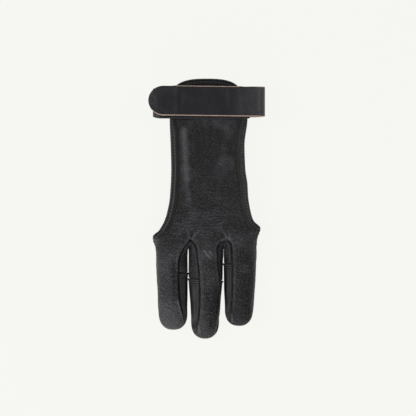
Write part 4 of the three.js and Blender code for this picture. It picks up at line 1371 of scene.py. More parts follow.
@dataclass
class BackPanel:
    """The leather over the back of the hand and the tops of the three stalls."""

    # Within this share of a binding's width from the edge the leather lies flat.
    FLAT_SHARE = 0.9
    # Where creases set in, along Y: on the hand, at the knuckles and on the fingers.
    HAND = Span(75.0, 15.0)
    KNUCKLES = Span(-25.0, 5.0)
    FINGERS = Span(0.0, -20.0)
    # Along X: the stalls on the index side are used less, and crease less.
    LESS_USED = Span(-30.0, 25.0)
    # How creased the panel is, and how much more on the hand and on a little or much used finger.
    CREASED = 0.35
    HAND_CREASED = 0.5
    FINGERS_CREASED = (0.3, 1.1)
    # Shares of the polish colour on the hand, on a much used finger and more at its tip, for rubbing with
    # painted sheen.
    HAND_WEAR = 0.06
    FINGER_WEAR = 0.27
    TIP_WEAR = 0.2
    # The sewn border is below this Y. Above it a binding covers the edge.
    SEWN_BELOW = 0.4

    wall: float = SIZE.panel_wall
    stem_rows: int = 170
    stall_rows: int = 110

    def sheet(self) -> Shell:
        """Makes the sheet before it is worn.

        Returns:
            The stem's three grids and then the stalls'.
        """
        shell = Shell("back_panel", self.wall)
        up = ((1 - np.linspace(0, 1, self.stem_rows + 1)) ** STEM_ROW_POWER)[:, None]
        for lane in range(len(STALLS)):
            shell.add(stem_point(lane, ACROSS, up))
        for stall in STALLS:
            along = (endwise(np.linspace(0, 1, self.stall_rows + 1)) * stall.corner_along)[:, None]
            points = stall.top_point(ACROSS, along)
            inwards = unset(points)
            for side in Side:
                inwards[:, side.column] = stall.edge_inward(side, along[:, 0])
            inwards[-1] = stall.tip_inward(ACROSS[0])
            shell.add(points, inwards)
        shell.join()
        return shell

    @staticmethod
    def stem_index(shell: Shell) -> Array:
        """Point numbers of the stem's rows, from the top end down and from the ring side across."""
        first, middle, last = shell.indices[:3]
        return np.concatenate([first, middle[:, 1:], last[:, 1:]], axis=1)

    def build(self, shop: Workshop, shell: Shell) -> None:
        """Adds the creases, the rubbing with its painted highlights and painted darker bands, and makes
        the piece.

        Args:
            shop: The materials.
            shell: The unworn sheet.
        """
        stem = shell.points[self.stem_index(shell)]
        reach = np.minimum(*(np.linalg.norm(stem - stem[:, [side.column]], axis=-1) for side in Side))
        share = np.ones(len(shell.points))
        share[self.stem_index(shell)] = ease(reach / SIZE.binding_width - self.FLAT_SHARE)
        low_on_hand = self.HAND.share(shell.points[:, 1]) * self.KNUCKLES.share(shell.points[:, 1])
        shell.relieve(BACK_RELIEF, share)
        shell.roll_edges(PANEL_ROLL, lambda points: points[:, 1] < self.SEWN_BELOW)
        on_fingers = self.FINGERS.share(shell.points[:, 1])
        used = 1 - self.LESS_USED.share(shell.points[:, 0])
        shell.creased = self.CREASED + self.HAND_CREASED * low_on_hand
        shell.creased += on_fingers * mix(*self.FINGERS_CREASED, used)
        # Rubbing with painted sheen; the listed bands add painted highlights and painted darker bands.
        rubbed_and_sheen = mix(self.HAND_WEAR, self.FINGER_WEAR * used, on_fingers)
        rubbed_and_sheen += self.TIP_WEAR * (1 - tip_fade(shell.points)) * used
        rubbed_and_sheen += sum(part(shell.points) for part in BACK_PAINTED_SHEEN)
        shell.wear_and_sheen = np.clip(shell.wear_and_sheen + rubbed_and_sheen, 0, 1)
        shop.deliver(shell.build(shop.garment), "soft_leather", shell.name)


@dataclass
class TipLeather:
    """The firm leather on the sole and the inner sides of one fingertip."""

    # Fine folds below the cross seam: the first one's place, where they set in and how they fade.
    FIRST_FOLD = 1.2
    FOLDS_START = Span(0.0, 1.2)
    FOLDS_STAY = 3.0
    FOLDS_FADE = 4.0
    # Lengthwise pleats: their height, how many there are, and where they set in and end.
    PLEAT = 0.1
    PLEATS = 2.6
    PLEATS_START = Span(0.0, 8.0)
    PLEATS_END = Span(40.0, 25.0)
    # A wall that leans less than this has less of both.
    LEANS = Span(0.0, 7.0)
    # The knot's place and width at the seam's end.
    KNOT_AT = 0.4
    KNOT_WIDTH = 0.8
    # Below this share of the stall's height its edge is sewn to the sole.
    SOLE_SHARE = 0.35

    name: str
    stall: Stall
    wall: float = SIZE.tip_wall
    rows: int = 100
    fold_height: float = 0.5
    fold_spacing: float = 2.0
    # Height of the seam's end, which stands out beside the sole.
    knot: float = 0.9

    def alongs(self) -> dict[Side, Array]:
        """Places along both sides, from the cross seam to the corners.

        Returns:
            Places for each side.
        """
        shares = endwise(np.linspace(0, 1, self.rows + 1))
        gap = SIZE.tip_seam_gap / self.stall.length
        seam = self.stall.table.seam
        return {side: mix(seam[side] + gap, self.stall.corner_along, shares) for side in Side}

    def heights(self, distance: Array, ups: Array, lean: Array) -> Array:
        """How far a wall is raised by its folds, pleats and knot.

        Args:
            distance: Millimetres below the cross seam.
            ups: From 0 at the sole to 1 at the back panel.
            lean: How far out the wall's foot is from its top.

        Returns:
            Millimetres.
        """
        wave = np.cos(2 * np.pi * (distance - self.FIRST_FOLD) / self.fold_spacing)
        fade = bell(np.maximum(0, distance - self.FOLDS_STAY), self.FOLDS_FADE)
        folds = self.fold_height * wave * self.FOLDS_START.share(distance) * fade
        pleats = self.PLEAT * np.sin(2 * np.pi * self.PLEATS * ups)
        pleats = pleats * self.PLEATS_START.share(distance) * self.PLEATS_END.share(distance)
        knot = self.knot * bell(distance - self.KNOT_AT, self.KNOT_WIDTH) * (1 - ups) ** 3
        return (folds + pleats) * np.sin(np.pi * ups) * self.LEANS.share(lean) + knot

    def sheet(self) -> Shell:
        """Makes the sheet: the sole and a wall up each inner side.

        Returns:
            The joined sheet.
        """
        stall = self.stall
        shell = Shell(self.name, self.wall)
        alongs = self.alongs()
        sole = stall.sole_point(alongs[Side.RING][:, None], alongs[Side.INDEX][:, None], ACROSS)
        inwards = unset(sole)
        inwards[-1] = stall.tip_inward(ACROSS[0])
        for side in Side:
            if stall.is_outer(side):
                inwards[:-1, side.column] = stall.level_inward(side.value, alongs[side][:-1])
        shell.add(sole[:, ::-1], inwards[:, ::-1])
        ups = np.linspace(0, 1, WALL_COLUMNS + 1)[None, :]
        for side in stall.crotches:
            along = alongs[side]
            low = stall.palm_seam_point(side, along)[:, None, :]
            high = stall.seat_point(side, along)[:, None, :]
            wall = wall_point(low, high, np.array([side.value, 0.0, 0.0]), ups)
            wall[:, 0] = sole[:, side.column]
            wall[-1] = sole[-1, side.column]
            inward = unset(wall)
            inward[:-1, -1] = stall.edge_inward(side, along[:-1])
            inward[-1] = inwards[-1, side.column]
            distance = (along - along[0])[:, None] * stall.length
            heights = self.heights(distance, ups, np.abs(high[..., 0] - low[..., 0]))
            if side is Side.INDEX:
                wall, inward, heights = wall[:, ::-1], inward[:, ::-1], heights[:, ::-1]
            shell.add(wall, inward, heights)
        shell.join()
        return shell

    def build(self, shop: Workshop) -> None:
        """Makes the piece.

        Args:
            shop: The materials.
        """
        shell = self.sheet()
        shell.relieve(TIP_RELIEF)
        sole_top = self.SOLE_SHARE * SIZE.stall_height
        shell.roll_edges(GUSSET_ROLL, lambda points: points[:, 2] > sole_top)
        shell.roll_edges(SOLE_ROLL, lambda points: points[:, 2] <= sole_top)
        shop.deliver(shell.build(shop.tip), "tip_leather", shell.name)


@dataclass
class PalmPanel:
    """The leather under the knuckles: a band across the hand and three short soles."""

    # Below this Y the edge is sewn and not bound.
    SEWN_BELOW = -5.0
    CREASED = 0.5

    wall: float = SIZE.panel_wall
    rows: int = 30
    sole_rows: int = 50

    def border_point(self, number: int, share: Array) -> Array:
        """Points of one of the four lines from the hem down to the stalls.

        Args:
            number: Which line, from 0 on the ring side.
            share: From 0 at the hem.

        Returns:
            The points.
        """
        outer = {0: (RING_STALL, Side.RING), len(STALLS): (INDEX_STALL, Side.INDEX)}
        if number in outer:
            stall, side = outer[number]
            return stall.palm_seam_point(side, mix(HEM_ALONG, MOUTH_ALONG[side], share))
        crotch = (RING_CROTCH, INDEX_CROTCH)[number - 1]
        hem_y = (HEM_RING_CROTCH, HEM_INDEX_CROTCH)[number - 1] * SIZE.stem_length
        return stack(crotch.palm_x, mix(hem_y, crotch.palm_y, share), SIZE.stall_height * PALM_SEAM_RISE)

    def band_point(self, lane: int, share: Array) -> Array:
        """Points of the band above one stall.

        Args:
            lane: Which stall, from 0.
            share: From 0 at the hem to 1 at the crotches.

        Returns:
            A row of points for each share.
        """
        whole = (ACROSS + 1 + 2 * lane) / 3 - 1
        rims = [self.border_point(number, share)[..., 2] for number in (0, len(STALLS))]
        outer = np.where(whole < 0, *rims)
        t = ((ACROSS + 1) / 2)[..., None]
        point = mix(self.border_point(lane, share), self.border_point(lane + 1, share), t)
        hem = SIZE.edge_bead + HEM_CLEARANCE
        flat = hem + (outer - hem) * (1 - arch(whole, HEM_ROUNDNESS))
        parted = point[..., 2] * (1 - arch(ACROSS, SOLE_ROUNDNESS))
        point[..., 2] = mix(flat, parted, ease((share - HEM_FLAT_SHARE) / (1 - HEM_FLAT_SHARE)))
        return point

    def sheet(self) -> Shell:
        """Makes the sheet.

        Returns:
            The band's three grids and then the soles'.
        """
        shell = Shell("palm_panel", self.wall)
        share = np.linspace(0, 1, self.rows + 1)[:, None]
        for lane, stall in enumerate(STALLS):
            band = self.band_point(lane, share)
            inwards = unset(band)
            inwards[-1, [0, -1]] = (0.0, 1.0, 0.0)
            for side in Side:
                if stall.is_outer(side):
                    inwards[:, side.column] = (-side.value, 0.0, 0.0)
            shell.add(band[:, ::-1], inwards[:, ::-1])
        share = np.linspace(0, 1, self.sole_rows + 1)[:, None]
        for lane, stall in enumerate(STALLS):
            alongs = {}
            for side in Side:
                outer = stall.is_outer(side)
                start = MOUTH_ALONG[side] if outer else -stall.crotches[side].palm_y / stall.length
                alongs[side] = mix(start, stall.table.seam[side] + SEAM_LAP / stall.length, share)
            sole = stall.sole_point(alongs[Side.RING], alongs[Side.INDEX], ACROSS)
            sole[0] = self.band_point(lane, np.ones((1, 1)))[0]
            inwards = unset(sole)
            for side in Side:
                inwards[1:, side.column] = (-side.value, 0.0, 0.0)
            past = SEAM_LAP - (1 - share) * (alongs[Side.RING][-1] - alongs[Side.RING][0]) * stall.length
            shell.add(sole[:, ::-1], inwards[:, ::-1], lapped(past) * np.ones(sole.shape[:2]))
        shell.join()
        return shell

    def build(self, shop: Workshop, shell: Shell) -> None:
        """Makes the piece.

        Args:
            shop: The materials.
            shell: The unworn sheet.
        """
        shell.roll_edges(SOLE_ROLL, lambda points: points[:, 1] < self.SEWN_BELOW)
        shell.creased = np.full(len(shell.points), self.CREASED)
        shop.deliver(shell.build(shop.garment), "soft_leather", shell.name)


@dataclass
class Fourchette:
    """A strip up the side of one stall, round the crotch and down the next."""

    # How far down from the crotch the pinch goes, and where the edge stops being sewn.
    PINCH_FADES = Span(16.0, 11.0)
    SEWN_BELOW = 5.0
    CREASED = 0.3

    name: str
    first: Stall
    second: Stall
    wall: float = SIZE.fourchette_wall
    rows: int = 60
    # How far both its sides are pinched together beside the crotch.
    pinch: float = 0.0

    def leg(self, stall: Stall, side: Side, shares: Array) -> tuple[Array, Array, Array]:
        """One side of the strip.

        Args:
            stall: The stall that it closes.
            side: That stall's side.
            shares: From 0 at the crotch to 1 at the tip leather.

        Returns:
            Points, the way that the wall goes at some of them, and how far they are raised.
        """
        last = stall.table.seam[side] + SEAM_LAP / stall.length
        crotch_along = -stall.crotches[side].palm_y / stall.length
        low = stall.palm_seam_point(side, mix(crotch_along, last, shares)) + (0, 0, SIZE.seam_gap)
        outward = unit(stack(side.value * shares, shares - 1, 0.0))
        high = stall.seat_point(side, last * shares)
        ups = np.linspace(0, 1, WALL_COLUMNS + 1)[None, :]
        wall = wall_point(low[:, None], high[:, None], outward[:, None], ups)
        inward = unset(wall)
        inward[:, 0] = -outward
        inward[:, -1] = stall.edge_inward(side, last * shares)
        reach = shares * last * stall.length
        pinched = self.pinch * self.PINCH_FADES.share(reach)[:, None] * (1 - ups) ** 2
        return wall, inward, lapped(reach - last * stall.length + SEAM_LAP)[:, None] + pinched

    def build(self, shop: Workshop) -> None:
        """Makes the piece.

        Args:
            shop: The materials.
        """
        shell = Shell(self.name, self.wall)
        legs = (
            self.leg(self.first, Side.INDEX, np.linspace(1, 0, self.rows + 1)),
            self.leg(self.second, Side.RING, np.linspace(0, 1, self.rows + 1)[1:]),
        )
        shell.add(*(np.concatenate(parts) for parts in zip(*legs)))
        shell.join()
        shell.relieve(FOURCHETTE_RELIEF)
        shell.roll_edges(GUSSET_ROLL, lambda points: points[:, 1] < self.SEWN_BELOW)
        shell.creased = np.full(len(shell.points), self.CREASED)
        shop.deliver(shell.build(shop.garment), "soft_leather", shell.name)


@dataclass
class Binding:
    """A leather strip folded round a raw edge and sewn through, with both its own edges cut."""

    # A rounded end starts this far before the edge's end, and is this long.
    END_CUT = 1.6
    END_REACH = 2.2
    # It is drawn in by this share towards the bead, and is at least this thick a share.
    END_DRAWN = 0.45
    END_THINNEST = 0.12
    END_STEPS = 5
    # Steps over the upper flap and round the bead.
    TOP_STEPS = 30
    BEAD_STEPS = 9
    # Places and widths of the forms on the upper flap, and its thickness at the skived edge.
    BEAD_AT = 0.3
    BEAD_WIDTH = 0.7
    RIDGE_WIDTH = 0.8
    GROOVE_WIDTH = 0.42
    SKIVED_WALL = 0.15
    # The bead is a little squarer and flatter than a half circle.
    BEAD_POWER = 0.8
    BEAD_FLAT = 0.06
    # The lower flap is narrower by this share.
    LOWER_SHARE = 0.8
    # How far a stitch pulls the strip down, and how wide a dimple it makes.
    DIMPLE = 0.1
    DIMPLE_WIDTH = 1.0
    # Rubbing with a painted highlight on the ridge and, less, on the bead.
    RIDGE_WEAR_AND_SHEEN = 0.35
    RIDGE_WEAR_AND_SHEEN_WIDTH = 0.7
    BEAD_WEAR_AND_SHEEN = 0.5
    BEAD_WEAR_AND_SHEEN_AT = -0.4
    BEAD_WEAR_AND_SHEEN_WIDTH = 0.5
    # The thread lies this far over the groove.
    THREAD_LIFT = 0.2

    name: str
    width: float
    leather: float = SIZE.panel_wall
    clearance: float = SIZE.binding_clearance
    over: float = SIZE.edge_bead
    bead: float = SIZE.edge_bead
    puff: float = 0.2
    groove_at: float = 1.5
    groove_depth: float = 0.55
    ridge_at: float = 3.0
    skive: float = 1.2
    pitch: float = 2.6
    round_ends: bool = True
    # The bound sheet's points and normals, in lines that run in from its edge.
    lines: Array | None = None
    normals: Array | None = None

    def over_height(self, inward: Array) -> Array:
        """Height of the upper flap: a bead, a stitched groove, a ridge and a skived cut edge.

        Args:
            inward: Distances in from the leather's edge.

        Returns:
            Heights over the leather.
        """
        bead = self.puff * bell(inward - self.BEAD_AT, self.BEAD_WIDTH)
        ridge = self.puff * bell(inward - self.ridge_at, self.RIDGE_WIDTH)
        groove = self.groove_depth * bell(inward - self.groove_at, self.GROOVE_WIDTH)
        skived = ease((inward - self.width + self.skive) / self.skive)
        return self.over + bead + ridge - groove - (self.over - self.clearance - self.SKIVED_WALL) * skived

    def section(self) -> tuple[Array, Array]:
        """The strip's section.

        Returns:
            Distances in from the edge and heights over the leather, once round, and for each place
            whether the face after it is a cut edge.
        """
        top = np.linspace(self.width, 0, self.TOP_STEPS)
        turn = np.linspace(0, np.pi, self.BEAD_STEPS + 2)[1:-1]
        middle, radius = -0.5 * self.leather, 0.5 * self.leather + self.over
        bead_in = -self.bead * np.sin(turn) ** self.BEAD_POWER
        beads = stack(bead_in, middle + radius * np.cos(turn) * (1 - self.BEAD_FLAT), 0.0)[:, :2]
        low = -self.leather - self.over
        inner = -self.leather - self.clearance
        reach = self.LOWER_SHARE * self.width
        parts = [
            np.stack([top, self.over_height(top)], axis=1),
            beads,
            [(0, low), (reach / 2, low), (reach - 0.5, low + 0.1), (reach, inner - 0.2)],
            [(reach, inner), (reach / 2, inner), (-0.3, inner), (-0.3, self.clearance)],
            [(0.5 * self.width, self.clearance), (self.width - 0.4, self.clearance)],
        ]
        outline = np.concatenate([np.asarray(part, float) for part in parts])
        cut = np.zeros(len(outline), bool)
        cut[: int(self.TOP_STEPS * self.skive / self.width)] = True
        cut[-1] = True
        return outline, cut

    def follow(self, shell: Shell, index: Array) -> "Binding":
        """Takes the lines of a sheet's points that run in from its edge, and returns the binding."""
        self.lines, self.normals = shell.points[index], shell.normals[index]
        return self

    def walk(self, station: int, distance: Array) -> tuple[Array, Array]:
        """Places and normals at distances in from the edge, along one line."""
        at = distances(self.lines[station])
        return tuple(between(distance, at, lines[station]) for lines in (self.lines, self.normals))

    def outward(self, station: int) -> Array:
        """The way out across the edge, level with the leather.

        Args:
            station: Which line.

        Returns:
            A unit vector.
        """
        line = self.lines[station]
        before, after = max(0, station - 1), min(len(self.lines) - 1, station + 1)
        tangent = self.lines[after, 0] - self.lines[before, 0]
        way = unit(np.cross(tangent, self.normals[station, 0]))
        return -way if way @ (line[1] - line[0]) > 0 else way

    def seam_line(self) -> tuple[Array, Array]:
        """The line that the thread follows in the groove.

        Returns:
            Points and unit normals.
        """
        at = np.array([self.groove_at])
        places = [self.walk(station, at) for station in range(len(self.lines))]
        lift = self.over_height(at)[0] + self.THREAD_LIFT
        ways = np.array([unit(way[0]) for _, way in places])
        return np.array([point[0] for point, _ in places]) + ways * lift, ways

    def build(self, shop: Workshop) -> None:
        """Sweeps the section along the edge, rounds the ends and makes the piece.

        Args:
            shop: The materials.
        """
        outline, cut = self.section()
        inward, height = outline.T
        above = height > self.clearance + self.DIMPLE
        arcs = distances(self.lines[:, 0])
        rings = []
        for station, arc in enumerate(arcs):
            points, ways = self.walk(station, np.maximum(0, inward))
            ways = unit(ways)
            pull = self.DIMPLE * math.cos(2 * math.pi * arc / self.pitch)
            dimple = pull * bell(inward - self.groove_at, self.DIMPLE_WIDTH) * above
            out = self.outward(station) * np.maximum(0, -inward)[:, None]
            rings.append(points + ways * (height + dimple)[:, None] + out)
        if self.round_ends:
            kept = (arcs > self.END_CUT) & (arcs < arcs[-1] - self.END_CUT)
            rings = self.rounded([ring for ring, keep in zip(rings, kept) if keep])
        count, n = len(rings), len(outline)
        index = np.arange(count * n).reshape(count, n)
        ahead = np.roll(index, -1, axis=1)
        faces = np.stack([index[:-1], ahead[:-1], ahead[1:], index[1:]], axis=-1).reshape(-1, 4).tolist()
        kinds = np.tile(np.where(cut, 1, 0), count - 1).tolist()
        faces += [index[0, ::-1].tolist(), index[-1].tolist()]
        kinds += [0, 0]
        points = np.concatenate(rings)
        if volume(points, faces) < 0:
            faces = [face[::-1] for face in faces]
        # Ridge and bead are painted lighter, as rubbing and as a painted highlight.
        proud = bell(inward - self.ridge_at, self.RIDGE_WEAR_AND_SHEEN_WIDTH)
        proud += self.BEAD_WEAR_AND_SHEEN * bell(inward - self.BEAD_WEAR_AND_SHEEN_AT, self.BEAD_WEAR_AND_SHEEN_WIDTH)
        wear_and_sheen = np.tile(np.where(height > 0, self.RIDGE_WEAR_AND_SHEEN * proud, 0), count)
        marks = {"wear_and_sheen": wear_and_sheen, "creased": np.zeros(len(points))}
        piece = make_mesh(self.name, points, faces, kinds, shop.binding, marks)
        shop.deliver(piece, "binding_leather", self.name)

    def rounded(self, rings: list[Array]) -> list[Array]:
        """Adds a rounded end of pulled-in leather at both ends.

        Args:
            rings: The sections along the edge.

        Returns:
            The sections with those of the ends.
        """
        bead = slice(self.TOP_STEPS, self.TOP_STEPS + self.BEAD_STEPS)
        turns = np.linspace(0, 0.5 * np.pi, self.END_STEPS + 1)[1:]
        ends = []
        for last, before in ((rings[0], rings[1]), (rings[-1], rings[-2])):
            way = self.END_REACH * unit(last.mean(axis=0) - before.mean(axis=0))
            core = mix(last.mean(axis=0), last[bead].mean(axis=0), self.END_DRAWN)
            ends.append([
                mix(core, last, max(self.END_THINNEST, math.cos(turn))) + way * math.sin(turn)
                for turn in turns
            ])
        return [*ends[0][::-1], *rings, *ends[1]]


def volume(points: Array, faces: list[list[int]]) -> float:
    """Signed volume inside closed faces, negative where they point inwards."""
    fans = [(face[0], b, c) for face in faces for b, c in zip(face[1:-1], face[2:])]
    return float(np.linalg.det(points[np.array(fans)]).sum()) / 6


@dataclass
class WristStrap:
    """One leather band: a base over the stem, a loop under the wrist and a rounded tab."""

    # Steps along the base, the other straight lengths, the folds and the tab's rounding, and across.
    BASE_STEPS = 70
    STRAIGHT_STEPS = 100
    FOLD_STEPS = 28
    TAB_STEPS = 33
    ACROSS_STEPS = 40
    # The base ends this share of the span before the index side's fold.
    BASE_SHORT = 0.04
    # Share of the tab's rounding that is made. The rest would be a point.
    TAB_ROUNDED = 0.985
    # Shares of the tab's height where its slant starts. Past the stem's sides the upper one fades.
    SLANT_STARTS = Span(0.5, 0.9)
    SLANT_FADE = 3.0
    # The edge shows raw below this share of the strap's width and within this share of the stem's.
    RAW_BELOW = 0.3
    RAW_OVER_STEM = 0.42
    # Where the tab starts above the base, and where the underside ends.
    TAB_STARTS = Span(1.0, 3.0)
    UNDERSIDE = 0.3
    # Leather that faces up less than this has this share of the bends.
    LEVEL = 0.7
    STEEP_RELIEF = 0.3
    # Past the index fold's middle, the raw edge goes on from here, and the rubbing with its painted
    # highlight is at its most.
    PAST_FOLD = 2
    # How far the rubbing reaches from the index fold and from the tab's tip, and shares of it. Round the
    # fold it is also a painted highlight.
    FOLD_REACH = 14.0
    TIP_REACH = 9.0
    FOLD_WEAR_AND_SHEEN = 0.5
    TIP_WEAR = 0.15
    FOLD_CREASED = 0.5
    TIP_CREASED = 0.9

    wall: float = SIZE.strap_wall
    width: float = SIZE.strap_width
    span: float = SIZE.strap_span
    shift: float = SIZE.strap_shift
    # How far the cut edges slant out, so that they show from above, and below the tab.
    lower_slant: float = 0.75
    upper_slant: float = 0.6
    end_slant: float = 0.05
    base_slant: float = 0.25
    # How much narrower each side is on the tab, where the edge slants, and at the ring side's fold.
    trim: float = 0.6
    fold_trim: float = 0.9
    # Radius of the fold on the index side, and X of its middle.
    index_fold: float = SIZE.tab_height / 2
    index_x: float = SIZE.strap_x + SIZE.strap_span / 2 - SIZE.tab_height / 2

    def path(self) -> tuple[Array, Array]:
        """The band's middle line.

        Returns:
            Rows of x, z and shift, and the band's half width at each.
        """
        half = self.width / 2
        ring_fold = SIZE.base_height / 2
        ring_x = SIZE.strap_x - self.span / 2 + SIZE.tab_overhang + ring_fold
        index_fold, index_x = self.index_fold, self.index_x
        base_end = index_x - self.BASE_SHORT * self.span
        tab_end = SIZE.strap_x - self.span / 2
        steps = np.linspace(0, 1, self.STRAIGHT_STEPS + 1)[1:]
        bend = np.pi * np.linspace(0, 1, self.FOLD_STEPS + 1)[1:]
        rounding = np.linspace(0, self.TAB_ROUNDED, self.TAB_STEPS + 1)[1:] * np.pi / 2
        base_x = mix(base_end, ring_x, np.linspace(0, 1, self.BASE_STEPS + 1))
        sections = [
            stack(base_x, SIZE.base_height, self.shift),
            stack(ring_x - ring_fold * np.sin(bend), ring_fold * (1 + np.cos(bend)), self.shift),
            stack(mix(ring_x, index_x, steps), 0.0, mix(self.shift, self.shift / 2, steps)),
            stack(index_x + index_fold * np.sin(bend), index_fold * (1 - np.cos(bend)), self.shift / 2),
            stack(mix(index_x, tab_end + half, steps), SIZE.tab_height, mix(self.shift / 2, 0, steps)),
            stack(tab_end + half * (1 - np.sin(rounding)), SIZE.tab_height, 0.0),
        ]
        path = np.concatenate(sections)
        tab_half = half - self.trim
        halves = np.concatenate([
            np.full(len(sections[0]), half),
            half - self.fold_trim * np.sin(bend) ** 2,
            np.full(len(sections[2]), half),
            mix(half, tab_half, ease(bend / np.pi)),
            np.full(len(sections[4]), tab_half),
            tab_half * np.cos(rounding),
        ])
        return path, halves

    def slant(self, points: Array, outward: Array) -> Array:
        """How far the cut edge slants out, most on the side towards the fingers.

        Args:
            points: Points of the edge.
            outward: The way out at each.

        Returns:
            Millimetres.
        """
        over_stem = ease((SIZE.stem_width / 2 - np.abs(points[:, 0] - SIZE.stem_x)) / self.SLANT_FADE)
        upper = mix(self.end_slant, self.upper_slant, over_stem)
        side = np.where(outward[:, 1] < 0, self.lower_slant, upper)
        on_top = self.SLANT_STARTS.share(points[:, 2] / SIZE.tab_height)
        return mix(self.base_slant, mix(self.end_slant, side, np.abs(outward[:, 1]) ** 3), on_top)

    def is_raw(self, points: Array) -> Array:
        """Whether the cut edge is undyed: the tab's but for its upper left, and the index fold's.

        Args:
            points: Points of the edge.

        Returns:
            True where it shows raw.
        """
        on_tab = points[:, 2] > SIZE.base_height + self.TAB_STARTS.start
        below = points[:, 1] < SIZE.strap_y - self.RAW_BELOW * self.width
        over_stem = np.abs(points[:, 0] - SIZE.stem_x) < self.RAW_OVER_STEM * SIZE.stem_width
        return (on_tab & (below | over_stem)) | (points[:, 0] > self.index_x + self.PAST_FOLD)

    def build(self, shop: Workshop) -> None:
        """Makes the piece.

        Args:
            shop: The materials.
        """
        path, halves = self.path()
        across = np.linspace(-1, 1, self.ACROSS_STEPS + 1)
        y = SIZE.strap_y - path[:, 2, None] + halves[:, None] * across[None, :]
        shell = Shell("wrist_strap", self.wall)
        shell.add(stack(path[:, 0, None], y, path[:, 1, None])[::-1])
        shell.join()
        on_tab = self.TAB_STARTS.share(shell.points[:, 2] - SIZE.base_height)
        low = shell.points[:, 2] < self.UNDERSIDE
        share = on_tab * np.where(shell.normals[:, 2] > self.LEVEL, 1, self.STEEP_RELIEF)
        shell.relieve(STRAP_RELIEF, np.where(low, 0, share))
        # Lighter round the index fold, as rubbing and as a painted highlight.
        fold = bell(shell.points[:, 0] - self.index_x - self.PAST_FOLD, self.FOLD_REACH) * on_tab
        tip = bell(shell.points[:, 0] - SIZE.strap_x + self.span / 2, self.TIP_REACH) * on_tab
        shell.wear_and_sheen = np.clip(shell.wear_and_sheen + self.FOLD_WEAR_AND_SHEEN * fold + self.TIP_WEAR * tip, 0, 1)
        shell.creased = self.TIP_CREASED * tip + self.FOLD_CREASED * fold
        shop.deliver(shell.build(shop.strap, self.slant, self.is_raw), "strap_leather", "wrist_strap")


@dataclass
class Tape:
    """One flat half of the hook-and-loop pair, with rounded corners."""

    name: str
    length: float
    centre: tuple[float, float]
    underside: float
    width: float = SIZE.tape_width
    wall: float = SIZE.tape_wall
    corner: float = 0.15 * SIZE.tape_width
    hem: float = 0.2

    def build(self, shop: Workshop) -> None:
        """Bevels a slab's corners and then its rims, and makes the piece.

        Args:
            shop: The materials.
        """
        bpy.ops.object.select_all(action="DESELECT")
        place = placed(np.array([*self.centre, self.underside + self.wall / 2]))
        bpy.ops.mesh.primitive_cube_add(size=1, location=place.tolist())
        piece = bpy.context.object
        piece.name = piece.data.name = self.name
        piece.scale = [side * MM for side in (self.length, self.width, self.wall)]
        bpy.ops.object.transform_apply(location=True, rotation=True, scale=True)
        self.bevel(piece, self.corner, 6, lambda way: abs(way.z) > 0.9)
        self.bevel(piece, self.hem, 2, lambda way: abs(way.z) < 0.1)
        piece.data.materials.append(shop.tape)
        shop.deliver(piece, "tape_nylon", self.name)

    @staticmethod
    def bevel(piece: bpy.types.Object, width: float, steps: int, chosen: Callable) -> None:
        """Bevels the edges that run a chosen way.

        Args:
            piece: The active piece.
            width: Width of the bevel in millimetres.
            steps: Its segments.
            chosen: Says for an edge's direction whether it is bevelled.
        """
        points = piece.data.vertices
        bpy.ops.object.mode_set(mode="EDIT")
        bpy.ops.mesh.select_mode(type="EDGE")
        bpy.ops.mesh.select_all(action="DESELECT")
        bpy.ops.object.mode_set(mode="OBJECT")
        for edge in piece.data.edges:
            a, b = (points[i].co for i in edge.vertices)
            edge.select = chosen((b - a).normalized())
        bpy.ops.object.mode_set(mode="EDIT")
        bpy.ops.mesh.bevel(offset=width * MM, segments=steps, affect="EDGES")
        bpy.ops.object.mode_set(mode="OBJECT")


class Stitcher:
    """Models one stitch and lays copies of it along seams."""

    RADIUS = 0.36
    # How unevenly the stitches lie, and how much shorter or longer they are.
    SWAY = 0.08
    UNEVEN = (0.92, 1.08)
    # How far a stitch's ends lie below its middle.
    DIP = 0.35
    # Share of the pitch on each side that gives a stitch its direction.
    AIM_SHARE = 0.25

    def __init__(self, shop: Workshop) -> None:
        """Models the stitch: a thread that dips into its holes at both ends.

        Args:
            shop: The materials.
        """
        self.shop = shop
        self.chance = np.random.default_rng(11)
        bpy.ops.object.select_all(action="DESELECT")
        bpy.ops.mesh.primitive_uv_sphere_add(segments=8, ring_count=6, radius=1)
        model = bpy.context.object
        bpy.ops.object.mode_set(mode="EDIT")
        bpy.ops.mesh.select_all(action="SELECT")
        bpy.ops.transform.rotate(value=math.pi / 2, orient_axis="Y", center_override=(0, 0, 0))
        bpy.ops.object.mode_set(mode="OBJECT")
        self.points = np.array([point.co for point in model.data.vertices])
        self.faces = [list(face.vertices) for face in model.data.polygons]
        bpy.data.objects.remove(model)

    def lay(self, name: str, line: Array, normals: Array, pitch: float, length: float = 1.8) -> None:
        """Lays a row of stitches.

        Args:
            name: The piece's name.
            line: Points of the seam.
            normals: The way up at each.
            pitch: Distance between stitches.
            length: Length of one stitch.
        """
        at = distances(line)
        aim = pitch * self.AIM_SHARE
        rows = []
        for place in np.arange(pitch / 2, at[-1], pitch):
            ahead = between(place + aim, at, line) - between(place - aim, at, line)
            forward = unit(ahead + self.chance.normal(0, self.SWAY, 3) * aim)
            side = unit(np.cross(between(place, at, normals), forward))
            size = length * self.chance.uniform(*self.UNEVEN) / 2
            local = self.points * (size, self.RADIUS, self.RADIUS)
            local[:, 2] -= self.DIP * self.points[:, 0] ** 2
            spot = between(place, at, line)
            rows.append(spot + local @ np.stack([forward, side, np.cross(forward, side)]))
        n = len(self.points)
        faces = [[v + row * n for v in face] for row in range(len(rows)) for face in self.faces]
        points = np.concatenate(rows)
        piece = make_mesh(name, points, faces, [0] * len(faces), (self.shop.thread,))
        self.shop.deliver(piece, "tape_nylon")


